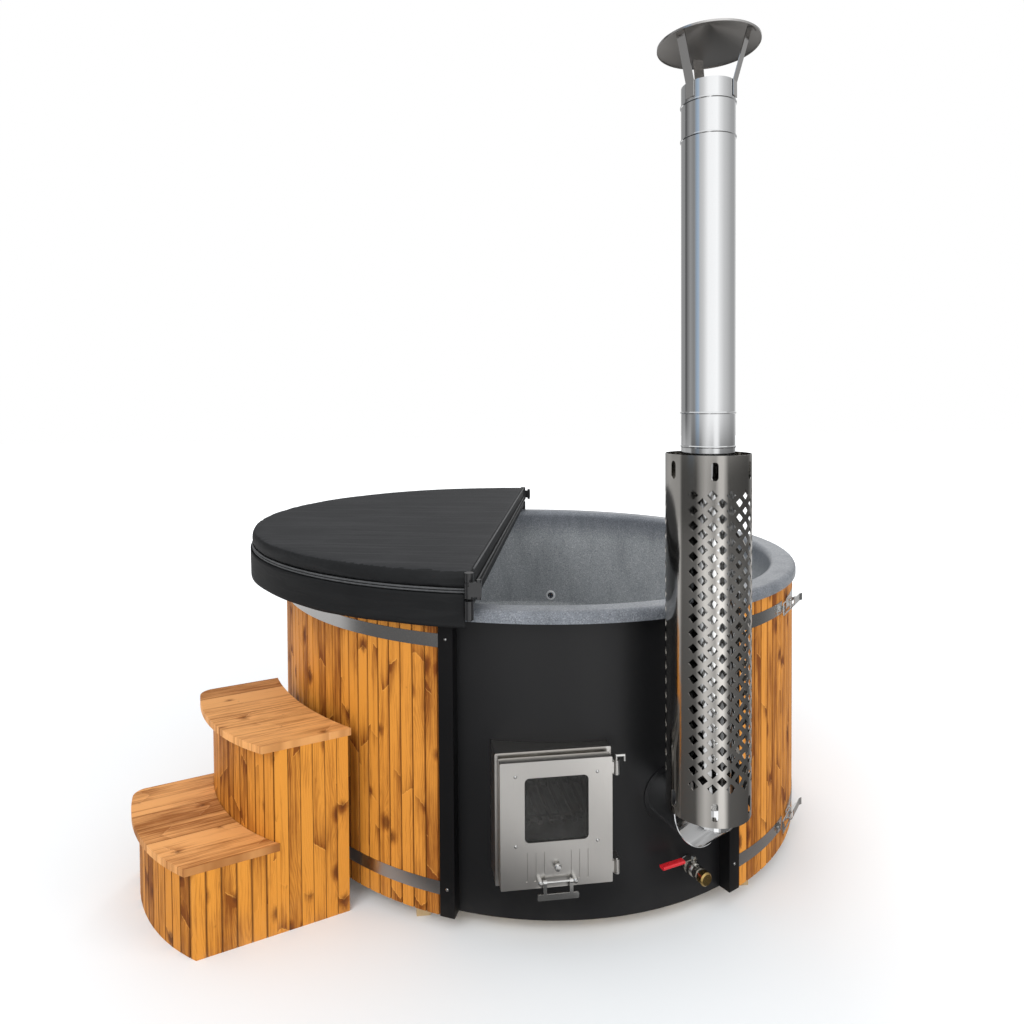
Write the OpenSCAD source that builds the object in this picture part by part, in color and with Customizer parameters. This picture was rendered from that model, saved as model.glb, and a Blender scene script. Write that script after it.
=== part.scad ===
// Wood-fired round hot tub with a built-in furnace, chimney, folding cover and a two-step stair.
// Origin on the ground under the tub's centre, +Z up, -Y out through the middle of the front panel.
// Angles round the tub are measured from the front (-Y) towards +X.

/* [Tub] */
// How far the liner's rim stands out past the cladding
rim_over = 12; // [6:1:25]
// Height of the rim's top above the ground
rim_top_z = 959; // [940:1:1000]
// Width of the liner's rim
rim_w = 91; // [75:1:110]
// Wall thickness of the moulded liner
liner_t = 6; // [4:0.5:8]
// Height of the rim's outer lip
rim_lip_h = 35; // [28:1:45]
// Height of the liner's floor above the ground
liner_floor_z = 190; // [186:1:200]
// Height of the bench above the ground
bench_z = 440; // [400:1:480]
// Depth of the bench from the bowl's wall to the footwell
bench_d = 311; // [270:1:350]

/* [Cladding] */
// Outer radius of the wooden cladding
clad_r = 1000; // [985:1:1001]
// Thickness of a cladding board
board_t = 18; // [14:1:22]
// Number of cladding boards round the tub
board_count = 129; // [100:1:150]
// Open groove between two boards
board_gap = 1.6; // [1:0.1:4]
// Chamfer on the outer edges of a board
board_bevel = 2.5; // [1:0.5:5]
// Height of the cladding's lower edge above the ground
clad_bottom_z = 45; // [40:1:50]

/* [Front panel] */
// How far the curved steel panel is set back from the cladding's face
panel_step = 35; // [30:1:45]
// Thickness of the steel panel
panel_t = 1.5; // [1:0.1:3]
// Half the angle that the panel spans between the trims
panel_half_angle = 25; // [23:0.5:27]
// Angular width of a trim's outer flange
trim_angle = 2.6; // [2:0.1:4]
// Thickness of the trim sheet
trim_t = 2; // [1.5:0.5:3]

/* [Hoops] */
// Height of a hoop band
hoop_w = 40; // [30:1:50]
// Thickness of a hoop band
hoop_t = 1.2; // [1:0.1:2]
// Height of the upper hoop's middle
hoop_upper_z = 858; // [820:1:880]
// Height of the lower hoop's middle
hoop_lower_z = 127; // [120:1:180]
// Angle of the toggle latches round the tub
latch_angle = 47; // [42:1:60]
// Length of a latch lever
latch_lever_l = 118; // [90:1:140]
// Diameter of the bail wire
bail_wire_d = 5; // [4:0.5:6]

/* [Base] */
// Height of the ground bearers
bearer_h = 60; // [55:1:70]
// Width of the ground bearers
bearer_w = 42; // [35:1:60]
// Distance between the ground bearers
bearer_pitch = 254; // [220:1:280]
// Thickness of the deck planks
deck_t = 25; // [18:1:30]

/* [Furnace] */
// Width of the furnace's water jacket
furnace_w = 640; // [600:1:660]
// Height of the furnace's underside above the ground
furnace_z = 185; // [182:1:190]
// Height of the furnace
furnace_h = 385; // [375:1:390]
// Distance from the furnace's front to the curved panel's middle
furnace_set_back = 85; // [75:1:95]
// Depth of the furnace
furnace_d = 390; // [340:1:410]
// Thickness of the furnace's steel plate
furnace_t = 4; // [3:0.5:6]
// Width of the water space round the fire chamber
water_gap = 35; // [25:1:38]

/* [Furnace door] */
// Sideways place of the door's middle
door_x = -147; // [-155:1:-140]
// Height of the door's lower edge above the ground
door_z = 203; // [200:1:208]
// Width of the door
door_w = 318; // [300:1:320]
// Height of the door
door_h = 355; // [340:1:357]
// Depth of the folded door pan
door_d = 30; // [24:1:34]
// How far the door collar stands out of the curved panel
collar_out = 35; // [30:1:45]
// Width and height of the door window
window_w = 181; // [160:1:190]
// Height of the window's middle above the door's lower edge
window_h = 219; // [215:1:225]
// Width of an air slot
slot_w = 6; // [5:0.5:8]
// Height of an air slot
slot_h = 83; // [60:1:90]
// Width of the drop handle
handle_w = 117; // [100:1:140]

/* [Flue] */
// Angle of the flue round the tub
flue_angle = 13; // [11:0.5:14]
// Height of the flue's centre at the panel
flue_z = 385; // [378:1:410]
// Outer diameter of the flue and chimney pipe
pipe_d = 140; // [130:1:142]
// Wall thickness of the pipe
pipe_t = 1.2; // [1:0.1:2]
// Distance of the chimney's axis from the cladding's face
chimney_out = 144; // [140:1:160]
// Height of the first pipe joint
joint_lower_z = 1471; // [1450:1:1500]
// Length of the chimney's top section
pipe_collar_l = 95; // [80:1:160]
// Height of the pipe's top
pipe_top_z = 2384; // [2370:1:2450]
// Radius of the rain cap
cap_r = 132; // [120:1:160]
// Height of the rain cap's rim above the pipe's top
cap_lift = 111; // [100:1:140]

/* [Chimney guard] */
// Diameter of the guard sleeve
guard_d = 224; // [218:1:232]
// Height of the guard's lower edge above the ground
guard_z = 443; // [436:1:452]
// Length of the guard sleeve
guard_h = 964; // [930:1:970]
// Thickness of the guard's sheet
guard_t = 1.5; // [1:0.1:2]
// Side of a diamond hole
diamond_w = 19; // [14:0.5:20]
// Height from one row of diamonds to the next
diamond_pitch = 20; // [19:0.5:24]

/* [Drain] */
// Angle of the drain valve round the tub
valve_angle = 16.5; // [15:0.5:18]
// Height of the drain valve's centre
valve_z = 164; // [160:0.5:165]
// Outer diameter of the drain pipe
drain_pipe_d = 33.7; // [30:0.1:35]

/* [Cover] */
// How far the folding cover stands out past the liner's rim
cover_over = 23; // [16:1:35]
// Thickness of one cover pad
pad_t = 59; // [50:1:70]
// Depth of the skirt below the lower pad
skirt_h = 45; // [40:1:70]
// Turn of the fold line from the Y axis
cover_turn = -14.9; // [-16:0.1:-10]

/* [Stair] */
// Turn of the stair round the tub
stair_turn = -70.6; // [-76:0.1:-66]
// Width of the stair
stair_w = 522; // [480:1:540]
// Height of the lower tread's top
step_1_z = 266; // [240:1:290]
// Height of the upper tread's top
step_2_z = 562; // [520:1:600]
// Thickness of the treads
tread_t = 22; // [18:1:28]
// Thickness of the riser and side boards
stair_board_t = 18; // [14:1:22]

/* [Hidden] */
$fn = 96;
hoop_fn = 240;
slip = 0.3;
run_fit = 0.08;
cut = 2;
rim_r = clad_r + rim_over;
bowl_r = rim_r - rim_w;
footwell_r = bowl_r - bench_d;
panel_r = clad_r - panel_step;
furnace_front_y = panel_r - furnace_set_back;
collar_y = panel_r + collar_out;
chimney_r = clad_r + chimney_out;
joint_upper_z = pipe_top_z - pipe_collar_l;
cover_r = rim_r + cover_over;

// Points of a round stretch of an outline, from angle a0 to a1 about c.
function arc_points(c, r, a0, a1, n = 6) =
    [for (i = [0 : n]) let (a = a0 + (a1 - a0) * i / n) [c[0] + r * cos(a), c[1] + r * sin(a)]];

// Turns its children, drawn on the front (-Y) side, to an angle round the tub.
module around(angle) {
    rotate([0, 0, angle]) children();
}

// Part of a ring between two angles round the tub.
module band(r_in, r_out, a0, a1, z0, z1) {
    rotate([0, 0, a0 - 90])
        translate([0, 0, z0])
            rotate_extrude(angle = a1 - a0, $fn = hoop_fn)
                translate([r_in, 0])
                    square([r_out - r_in, z1 - z0]);
}

// Round bar or hole along -Y, from y = -y0 out to y = -y1.
module rod_y(r, x, y0, y1, z, fn = 48) {
    translate([x, -y0, z])
        rotate([90, 0, 0])
            cylinder(r = r, h = y1 - y0, $fn = fn);
}

// Box from its lowest and highest corners.
module box(low, high) {
    translate(low)
        cube(high - low);
}

// Flat rectangle with round corners, centred.
module round_rect(w, h, r) {
    square([w - 2 * r, h], center = true);
    square([w, h - 2 * r], center = true);
    for (sx = [-1, 1])
        for (sy = [-1, 1])
            translate([sx * (w / 2 - r), sy * (h / 2 - r)])
                circle(r = r, $fn = 32);
}

// Upright plate with round corners, facing -Y, from y = -y0 out to y = -y1.
module plate_y(w, h, r, x, z, y0, y1) {
    translate([x, -y0, z])
        rotate([90, 0, 0])
            linear_extrude(y1 - y0)
                round_rect(w, h, r);
}

// ---------------------------------------------------------------- base and inner frame
deck_z = bearer_h;
deck_top_z = deck_z + deck_t;
panel_in_r = panel_r - panel_t;
deck_r = panel_in_r - slip;
clad_start = panel_half_angle + 0.3;
board_pitch = (360 - 2 * clad_start) / board_count;
board_face_r = clad_r * cos(board_pitch / 2);
board_in_r = board_face_r - board_t;
clad_top_z = rim_top_z - liner_t - 4;
bearer_end_inset = 35;
bearer_end_r = clad_r - bearer_end_inset;
bearer_front_inset = 75;

module ground_bearers() {
    color("burlywood")
    for (i = [-3 : 3]) {
        x = i * bearer_pitch;
        back_r = bearer_end_r;
        front_r = abs(x) < panel_r * sin(panel_half_angle) ? panel_r - bearer_front_inset : bearer_end_r;
        box([x - bearer_w / 2, -sqrt(front_r * front_r - x * x), 0],
            [x + bearer_w / 2, sqrt(back_r * back_r - x * x), bearer_h]);
    }
}

plank_count = 9;
plank_w = 2 * deck_r / plank_count;
plank_gap = 3;

module deck_planks() {
    color("burlywood")
    for (i = [0 : plank_count - 1])
        intersection() {
            translate([0, 0, deck_z]) cylinder(r = deck_r, h = deck_t, $fn = hoop_fn);
            box([-deck_r, -deck_r + i * plank_w + plank_gap / 2, deck_z],
                [deck_r, -deck_r + (i + 1) * plank_w - plank_gap / 2, deck_top_z]);
        }
}

ring_h = 40;
ring_w = 80;
upper_ring_h = 50;
upper_ring_w = 34;
ring_front_angle = clad_start + 1.2;
ring_front_count = 4;
ring_back_count = 10;
ring_joint_angle = 0.06;

// Row of sawn ring segments with butt joints.
module ring_segments(r_in, r_out, a0, a1, count, z0, z1) {
    pitch = (a1 - a0) / count;
    for (i = [0 : count - 1])
        band(r_in, r_out, a0 + i * pitch + ring_joint_angle / 2,
             a0 + (i + 1) * pitch - ring_joint_angle / 2, z0, z1);
}

// Wooden ring that the cladding is nailed to, set back behind the steel panel.
module nailing_ring(w, z0, z1) {
    r_in = board_in_r - w;
    ring_segments(r_in, deck_r, -ring_front_angle, ring_front_angle, ring_front_count, z0, z1);
    ring_segments(r_in, board_in_r, ring_front_angle, 360 - ring_front_angle, ring_back_count, z0, z1);
}

module nailing_rings() {
    color("burlywood") {
        nailing_ring(ring_w, deck_top_z, deck_top_z + ring_h);
        nailing_ring(upper_ring_w, rim_top_z - liner_t - upper_ring_h, rim_top_z - liner_t);
    }
}

post_w = 45;
post_d = 42;
front_post_d = 32;
post_angles = [70, 112, 155, 205, 248, 290];
front_post_angle = clad_start + 2.2;
post_z0 = deck_top_z + ring_h;
post_z1 = rim_top_z - liner_t - upper_ring_h;

// Upright post whose outer edges bear on a round wall.
module post(wall_in_r, depth) {
    face = sqrt(pow(wall_in_r, 2) - pow(post_w / 2, 2)) - 0.05;
    box([-post_w / 2, -face, post_z0], [post_w / 2, -face + depth, post_z1]);
}

module frame_posts() {
    color("burlywood") {
        for (a = post_angles)
            around(a) post(board_in_r, post_d);
        for (side = [-1, 1])
            around(side * front_post_angle) post(panel_in_r - slip, front_post_d);
    }
}

joist_w = 45;
joist_l = 840;
joist_ys = [-250, 50, 350];

module liner_joists() {
    color("burlywood")
    for (y = joist_ys)
        box([-joist_l / 2, y - joist_w / 2, deck_top_z],
            [joist_l / 2, y + joist_w / 2, liner_floor_z - liner_t]);
}

// ---------------------------------------------------------------- liner
rim_outer_round = 18;
rim_inner_round = 25;
wall_round = 40;
bench_round = 30;
bench_r = bowl_r - 16;
well_floor_r = footwell_r - 10;
niche_gap = 14;
niche_t = liner_t;
wall_h = rim_top_z - rim_inner_round - bench_z - wall_round;
wall_draft = atan((bowl_r - bench_r) / wall_h);

function wall_r(z) = bench_r + (z - bench_z - wall_round) * tan(wall_draft);
furnace_top_z = furnace_z + furnace_h;
furnace_rear_y = furnace_front_y - furnace_d;

// Seen side of the liner's section, from the lip's lower edge to the floor's centre.
function liner_face(t) = concat(
    [[rim_r - t, rim_top_z - rim_lip_h]],
    arc_points([rim_r - rim_outer_round, rim_top_z - rim_outer_round], rim_outer_round - t, 0, 90),
    arc_points([bowl_r + rim_inner_round, rim_top_z - rim_inner_round], rim_inner_round - t, 90, 180),
    arc_points([bench_r - wall_round, bench_z + wall_round], wall_round + t, 0, -90),
    arc_points([footwell_r + bench_round, bench_z - bench_round], bench_round - t, 90, 180),
    arc_points([well_floor_r - wall_round, liner_floor_z + wall_round], wall_round + t, 0, -90),
    [[0, liner_floor_z - t]]);

function reversed(list) = [for (i = [len(list) - 1 : -1 : 0]) list[i]];

// Plan of the niche that keeps the water off the furnace, grown by an amount.
module niche_block(grow, z0) {
    translate([0, 0, z0])
        linear_extrude(furnace_top_z + niche_gap / 2 + grow - z0)
            translate([0, -rim_r])
                round_rect(furnace_w + 2 * (niche_gap + grow),
                           2 * (rim_r - furnace_rear_y + niche_gap + grow), 40 + grow);
}

// Room inside the bowl up to above the niche, reaching half-way into the liner's wall.
module bowl_space() {
    top_z = furnace_top_z + 60;
    rotate_extrude($fn = hoop_fn)
        polygon(concat([[wall_r(top_z) + liner_t / 2, top_z]],
                       [for (p = liner_face(liner_t / 2)) if (p[0] < bench_r + liner_t && p[1] < top_z) p],
                       [[0, top_z]]));
}

fitting_angle = 162.4;
fitting_z = 504;
fitting_bore_r = 14;
drain_r = footwell_r - 210;
drain_throat_r = 20;
pipe_port_x = 200;
pipe_port_zs = [255, 505];
pipe_port_r = 24;

module liner() {
    color("slategray")
    difference() {
        union() {
            rotate_extrude($fn = hoop_fn)
                polygon(concat(liner_face(0), reversed(liner_face(liner_t))));
            intersection() {
                bowl_space();
                niche_block(niche_t, liner_floor_z);
            }
        }
        niche_block(0, liner_floor_z - 2 * liner_t);
        around(valve_angle) translate([0, -drain_r, liner_floor_z - 2 * liner_t])
            cylinder(r = drain_throat_r + slip, h = 3 * liner_t);
        around(fitting_angle) rod_y(fitting_bore_r + slip, 0, bench_r - 60, rim_r - 20, fitting_z);
        for (z = pipe_port_zs)
            rod_y(pipe_port_r + slip, -pipe_port_x, furnace_rear_y - 80, furnace_rear_y, z);
    }
}

// ---------------------------------------------------------------- cladding and front panel
module clad_board(angle) {
    half_face = board_face_r * tan(board_pitch / 2) - board_gap / 2;
    half_back = board_in_r * tan(board_pitch / 2) - board_gap / 2;
    around(angle)
        translate([0, 0, clad_bottom_z])
            linear_extrude(clad_top_z - clad_bottom_z)
                polygon([[-half_face + board_bevel, -board_face_r], [half_face - board_bevel, -board_face_r],
                         [half_face, -board_face_r + board_bevel], [half_back, -board_in_r],
                         [-half_back, -board_in_r], [-half_face, -board_face_r + board_bevel]]);
}

module cladding_right() {
    color("chocolate")
    for (i = [0 : floor(board_count / 2) - 1])
        clad_board(clad_start + (i + 0.5) * board_pitch);
}

module cladding_left() {
    color("chocolate")
    for (i = [floor(board_count / 2) : board_count - 1])
        clad_board(clad_start + (i + 0.5) * board_pitch);
}

collar_w = door_w + 17;
collar_h = door_h + 20;
collar_t = 3;
collar_z = door_z + door_h / 2;
valve_hole_r = drain_pipe_d / 2 + 2;
pipe_r = pipe_d / 2;

module front_panel() {
    color([0.16, 0.17, 0.18])
    difference() {
        band(panel_in_r, panel_r, -clad_start - 1, clad_start + 1, clad_bottom_z, clad_top_z);
        box([door_x - collar_w / 2 - slip, -clad_r, collar_z - collar_h / 2 - slip],
            [door_x + collar_w / 2 + slip, -furnace_front_y, collar_z + collar_h / 2 + slip]);
        around(flue_angle) rod_y(pipe_r + 2, 0, furnace_front_y, clad_r, flue_z);
        around(valve_angle) rod_y(valve_hole_r, 0, furnace_front_y, clad_r, valve_z);
    }
}

flange_in_r = clad_r + hoop_t + 0.2;
flange_out_r = flange_in_r + trim_t;
trim_leg_angle = panel_half_angle - 0.15;
rivet_angle = panel_half_angle + trim_angle * 0.45;
rivet_r = 4.5;
rivet_shank_r = 2;
rivet_head_h = 2.5;
rivet_top_drop = 95;
rivet_zs = [hoop_lower_z, rim_top_z - rivet_top_drop];
trim_top_z = clad_top_z - 26;

// Holes for the rivets of one trim.
module rivet_holes(side) {
    for (z = rivet_zs)
        around(side * rivet_angle)
            rod_y(rivet_shank_r + 0.1, 0, clad_r - board_t, flange_out_r + board_t, z);
}

// Folded strip that closes the step between the steel panel and the cladding.
module trim_strip(side) {
    difference() {
        union() {
            band(flange_in_r, flange_out_r, side > 0 ? trim_leg_angle : -trim_leg_angle - trim_angle,
                 side > 0 ? trim_leg_angle + trim_angle : -trim_leg_angle, clad_bottom_z, trim_top_z);
            around(side * trim_leg_angle)
                box([side > 0 ? 0 : -trim_t, -flange_out_r + 0.5, clad_bottom_z],
                    [side > 0 ? trim_t : 0, -panel_r - slip, trim_top_z]);
        }
        rivet_holes(side);
    }
}

module panel_trims() {
    color([0.1, 0.1, 0.1])
    for (side = [-1, 1])
        trim_strip(side);
}

module trim_rivets() {
    color("silver")
    for (side = [-1, 1])
        for (z = rivet_zs)
            around(side * rivet_angle) {
                rod_y(rivet_shank_r, 0, clad_r + 0.05, flange_out_r + rivet_head_h / 2, z, 24);
                translate([0, -flange_out_r - 0.02, z])
                    rotate([90, 0, 0])
                        rotate_extrude($fn = 32)
                            polygon([[0, 0], [rivet_r, 0], [rivet_r, 0.8], [rivet_r * 0.7, rivet_head_h * 0.8],
                                     [0, rivet_head_h]]);
            }
}

// ---------------------------------------------------------------- hoops and toggle latches
latch_gap_angle = 4.2;
hoop_end_angle = panel_half_angle + 0.6;
base_span = [0.4, 4.7];
keeper_span = [-4.9, -3.1];
plate_rivets = [-4.5, 2.7, 4.2];
plate_h = 36;
plate_t = 2;
ear_r = 7;
ear_t = 2;
hook_w = 20;
hook_h = 13;
hook_t = 2;
ear_gap = 25;
pivot_r = 2.5;
pivot_off = 9;
bail_off = 13;
lever_w = 22;
keeper_x = -64;
latch_zs = [hoop_lower_z, hoop_upper_z];

// One hoop: a long band round the back and a short one on the right, meeting at the latch.
module hoop_band(z) {
    difference() {
        union() {
            band(clad_r + 0.05, clad_r + hoop_t, hoop_end_angle, latch_angle - latch_gap_angle / 2,
                 z - hoop_w / 2, z + hoop_w / 2);
            band(clad_r + 0.05, clad_r + hoop_t, latch_angle + latch_gap_angle / 2, 360 - hoop_end_angle,
                 z - hoop_w / 2, z + hoop_w / 2);
        }
        for (side = [-1, 1])
            rivet_holes(side);
    }
}

module hoops() {
    color("silver")
    for (z = latch_zs)
        hoop_band(z);
}

// Places its children at a latch: x runs backwards round the tub, -Y outwards, z up.
module latch_place(z) {
    around(latch_angle)
        translate([0, -clad_r - hoop_t - plate_t, z])
            children();
}

pivot_x = 22;
pivot_y = -pivot_off;
bail_x = pivot_x + bail_off;

// Two ears on the base for the lever's pin.
module latch_ears() {
    difference() {
        for (s = [-1, 1]) {
            ear_low = s > 0 ? ear_gap / 2 : -ear_gap / 2 - ear_t;
            box([pivot_x - ear_r, pivot_y, ear_low], [pivot_x + ear_r, 1, ear_low + ear_t]);
            translate([pivot_x, pivot_y, ear_low]) cylinder(r = ear_r, h = ear_t, $fn = 48);
        }
        translate([pivot_x, pivot_y, -plate_h / 2]) cylinder(r = pivot_r + run_fit, h = plate_h, $fn = 48);
    }
}

// Upright hook that the bail is drawn against.
module keeper_hook() {
    translate([keeper_x, 0, -hook_w / 2])
        linear_extrude(hook_w)
            polygon([[0, 3], [0, -hook_h], [-hook_t / 2, -hook_h - 1], [-hook_t, -hook_h], [-hook_t, 3]]);
}

// Curved base and keeper plates on the hoop, with their rivet heads.
module latch_plates() {
    plate_in_r = clad_r + hoop_t + 0.05;
    color("silver")
    for (z = latch_zs) {
        for (span = [base_span, keeper_span])
            band(plate_in_r, plate_in_r + plate_t, latch_angle + span[0], latch_angle + span[1],
                 z - plate_h / 2, z + plate_h / 2);
        for (a = plate_rivets)
            around(latch_angle + a)
                rod_y(rivet_r, 0, plate_in_r + plate_t / 2, plate_in_r + plate_t + 1.5, z, 32);
    }
}

// Ears and keeper hooks welded to the plates.
module latch_lugs() {
    color("silver")
    for (z = latch_zs)
        latch_place(z) {
            latch_ears();
            keeper_hook();
        }
}

lever_t = 2;

// Over-centre lever with its rivet pin, closed against the base.
module latch_lever() {
    cheek = ear_gap / 2 - slip;
    difference() {
        union() {
            for (s = [-1, 1])
                translate([0, 0, s > 0 ? cheek - lever_t : -cheek])
                    linear_extrude(lever_t)
                        polygon([[pivot_x - 6, pivot_y + 5], [bail_x + 7, pivot_y + 5], [pivot_x + 70, pivot_y - 6],
                                 [pivot_x + 70, pivot_y - 9], [pivot_x - 3, pivot_y - 9], [pivot_x - 6, pivot_y - 5]]);
            linear_extrude(2 * cheek, center = true)
                polygon([[bail_x + 8, pivot_y - 7], [pivot_x + latch_lever_l - 12, pivot_y - 7],
                         [pivot_x + latch_lever_l, pivot_y - 12], [pivot_x + latch_lever_l, pivot_y - 14.2],
                         [pivot_x + latch_lever_l - 12, pivot_y - 9.2], [bail_x + 8, pivot_y - 9.2]]);
        }
        translate([bail_x, pivot_y, 0])
            cylinder(r = bail_wire_d / 2 + run_fit, h = 3 * ear_gap, center = true, $fn = 48);
    }
    translate([pivot_x, pivot_y, 0])
        cylinder(r = pivot_r, h = ear_gap + 2 * ear_t + 3, center = true, $fn = 48);
}

module latch_lever_upper() {
    color("silver") latch_place(hoop_upper_z) latch_lever();
}

module latch_lever_lower() {
    color("silver") latch_place(hoop_lower_z) latch_lever();
}

bail_half = ear_gap / 2 + ear_t + 3 + bail_wire_d / 2;

// Wire loop from the lever to the keeper.
module latch_bail() {
    wire_r = bail_wire_d / 2;
    hook_x = keeper_x - hook_t - wire_r - slip;
    for (s = [-1, 1])
        translate([bail_x, pivot_y, s * bail_half])
            rotate([0, -90, 0])
                cylinder(r = wire_r, h = bail_x - hook_x, $fn = 32);
    translate([bail_x, pivot_y, 0])
        cylinder(r = wire_r, h = 2 * bail_half, center = true, $fn = 32);
    translate([hook_x, pivot_y, 0])
        cylinder(r = wire_r, h = 2 * bail_half, center = true, $fn = 32);
    for (x = [bail_x, hook_x])
        for (s = [-1, 1])
            translate([x, pivot_y, s * bail_half])
                sphere(r = wire_r, $fn = 32);
}

module latch_bail_upper() {
    color("silver") latch_place(hoop_upper_z) latch_bail();
}

module latch_bail_lower() {
    color("silver") latch_place(hoop_lower_z) latch_bail();
}

// ---------------------------------------------------------------- furnace
chamber_in = 2 * furnace_t + water_gap;
mouth_w = 256;
mouth_h = 280;
grate_lift = 40;
grate_z = furnace_z + chamber_in + grate_lift;
sleeve_t = 3;
sleeve_reach = 40;
sleeve_r = pipe_r + slip;
port_t = 2;
port_flange_w = 16;
port_flange_t = 5;
port_slot_w = 4;
port_slot_h = 28;
port_slot_pitch = 7;

module furnace_block(inset) {
    box([-furnace_w / 2 + inset, -furnace_front_y + inset, furnace_z + inset],
        [furnace_w / 2 - inset, -furnace_rear_y - inset, furnace_top_z - inset]);
}

module mouth_block(grow) {
    box([door_x - mouth_w / 2 - grow, -furnace_front_y, collar_z - mouth_h / 2 - grow],
        [door_x + mouth_w / 2 + grow, -furnace_front_y + chamber_in, collar_z + mouth_h / 2 + grow]);
}

module furnace_body() {
    color([0.3, 0.3, 0.31])
    difference() {
        union() {
            difference() {
                furnace_block(0);
                furnace_block(furnace_t);
            }
            furnace_block(furnace_t + water_gap);
            mouth_block(furnace_t);
            around(flue_angle)
                rod_y(sleeve_r + sleeve_t, 0, furnace_front_y - sleeve_reach, furnace_front_y + sleeve_reach, flue_z);
        }
        furnace_block(chamber_in);
        for (y = [-cut, 0, cut])
            translate([0, y, 0]) mouth_block(0);
        around(flue_angle)
            rod_y(sleeve_r, 0, furnace_front_y - 1.5 * sleeve_reach, furnace_front_y + 1.5 * sleeve_reach, flue_z);
        for (z = pipe_port_zs)
            rod_y(pipe_port_r - port_t, -pipe_port_x, furnace_rear_y - cut, furnace_rear_y + furnace_t + cut, z);
    }
}

grate_bars = 15;
grate_bar_w = 12;
grate_gap = 10;
grate_tie_inset = 30;
grate_tie_low = 20;
grate_foot_w = 14;
grate_w = furnace_w - 2 * (chamber_in + grate_gap);
grate_d = furnace_d - 2 * (chamber_in + grate_gap);

module fire_grate() {
    y_low = -furnace_front_y + chamber_in + grate_gap;
    tie_ys = [y_low + grate_tie_inset, y_low + grate_d - grate_tie_inset - grate_bar_w];
    color([0.2, 0.2, 0.2]) {
        for (i = [0 : grate_bars - 1]) {
            x = -grate_w / 2 + i * (grate_w - grate_bar_w) / (grate_bars - 1);
            box([x, y_low, grate_z - grate_bar_w], [x + grate_bar_w, y_low + grate_d, grate_z]);
        }
        for (y = tie_ys) {
            box([-grate_w / 2, y, grate_z - grate_tie_low],
                [grate_w / 2, y + grate_bar_w, grate_z - grate_bar_w / 2]);
            for (x = [-grate_w / 2, grate_w / 2 - grate_foot_w])
                box([x, y, furnace_z + chamber_in],
                    [x + grate_foot_w, y + grate_bar_w, grate_z - grate_bar_w]);
        }
    }
}

runner_w = 20;
runner_inset = 65;
runner_xs = [-290, 60, furnace_w / 2 - runner_w - furnace_t];

module furnace_runners() {
    color([0.25, 0.25, 0.26])
    for (x = runner_xs)
        box([x, -furnace_front_y + runner_inset, deck_top_z], [x + runner_w, -furnace_rear_y - 5, furnace_z]);
}

// Flow and return pipes through the niche's rear wall, with grilled flanges in the water.
module circulation_pipes() {
    rear = furnace_rear_y - niche_gap - niche_t;
    color("silver")
    for (z = pipe_port_zs)
        difference() {
            union() {
                rod_y(pipe_port_r, -pipe_port_x, rear - port_flange_t + 1, furnace_rear_y, z);
                rod_y(pipe_port_r + port_flange_w, -pipe_port_x, rear - port_flange_t, rear, z);
            }
            rod_y(pipe_port_r - port_t, -pipe_port_x, rear, furnace_rear_y + cut, z);
            for (i = [-2 : 2])
                translate([-pipe_port_x + i * port_slot_pitch, 0, z])
                    box([-port_slot_w / 2, -rear - cut, -port_slot_h / 2],
                        [port_slot_w / 2, -rear + port_flange_t + cut, port_slot_h / 2]);
        }
}

// ---------------------------------------------------------------- door collar and hinge
hinge_x = door_x + door_w / 2 + 18;
hinge_y = collar_y + 20;
hinge_pin_r = 4;
knuckle_r = 8.5;
knuckle_h = 30;
lug_t = 5;
hinge_zs = [door_z + 32, door_z + door_h - 40];
gasket_w = 9;

module door_collar() {
    color("silver")
    difference() {
        union() {
            difference() {
                plate_y(collar_w, collar_h, 4, door_x, collar_z, furnace_front_y + slip, collar_y);
                plate_y(collar_w - 2 * collar_t, collar_h - 2 * collar_t, 2, door_x, collar_z,
                        furnace_front_y - cut, collar_y - collar_t);
                plate_y(door_w - 2 * return_w, door_h - 2 * return_w, 8, door_x, collar_z, collar_y - 2 * collar_t,
                        collar_y + cut);
            }
            for (z = hinge_zs)
                for (s = [-1, 1]) {
                    lug_z = z + s * (knuckle_h / 2 + lug_t / 2 + slip) - lug_t / 2;
                    box([door_x + collar_w / 2 - 0.5, -hinge_y, lug_z],
                        [hinge_x + knuckle_r, -collar_y + 15, lug_z + lug_t]);
                    translate([hinge_x, -hinge_y, lug_z]) cylinder(r = knuckle_r, h = lug_t, $fn = 48);
                }
        }
        translate([hinge_x, -hinge_y, door_z]) cylinder(r = hinge_pin_r, h = door_h, $fn = 48);
    }
}

pin_top = knuckle_h / 2 + lug_t + 12;
pin_arm = 24;

// Two hinge pins; the upper one ends in a bent arm for pulling it out.
module hinge_pin() {
    color("silver") {
        for (z = hinge_zs)
            translate([hinge_x, -hinge_y, z - knuckle_h / 2 - lug_t - 3])
                cylinder(r = hinge_pin_r, h = knuckle_h / 2 + lug_t + 3 + (z > collar_z ? pin_top : lug_t + 18),
                         $fn = 48);
        top = max(hinge_zs) + pin_top;
        translate([hinge_x, -hinge_y, top]) sphere(r = hinge_pin_r, $fn = 48);
        translate([hinge_x, -hinge_y, top]) rotate([0, 90, 0]) cylinder(r = hinge_pin_r, h = pin_arm, $fn = 48);
        translate([hinge_x + pin_arm, -hinge_y, top]) sphere(r = hinge_pin_r, $fn = 48);
        translate([hinge_x + pin_arm, -hinge_y, top - 16]) cylinder(r = hinge_pin_r, h = 16, $fn = 48);
    }
}

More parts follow.
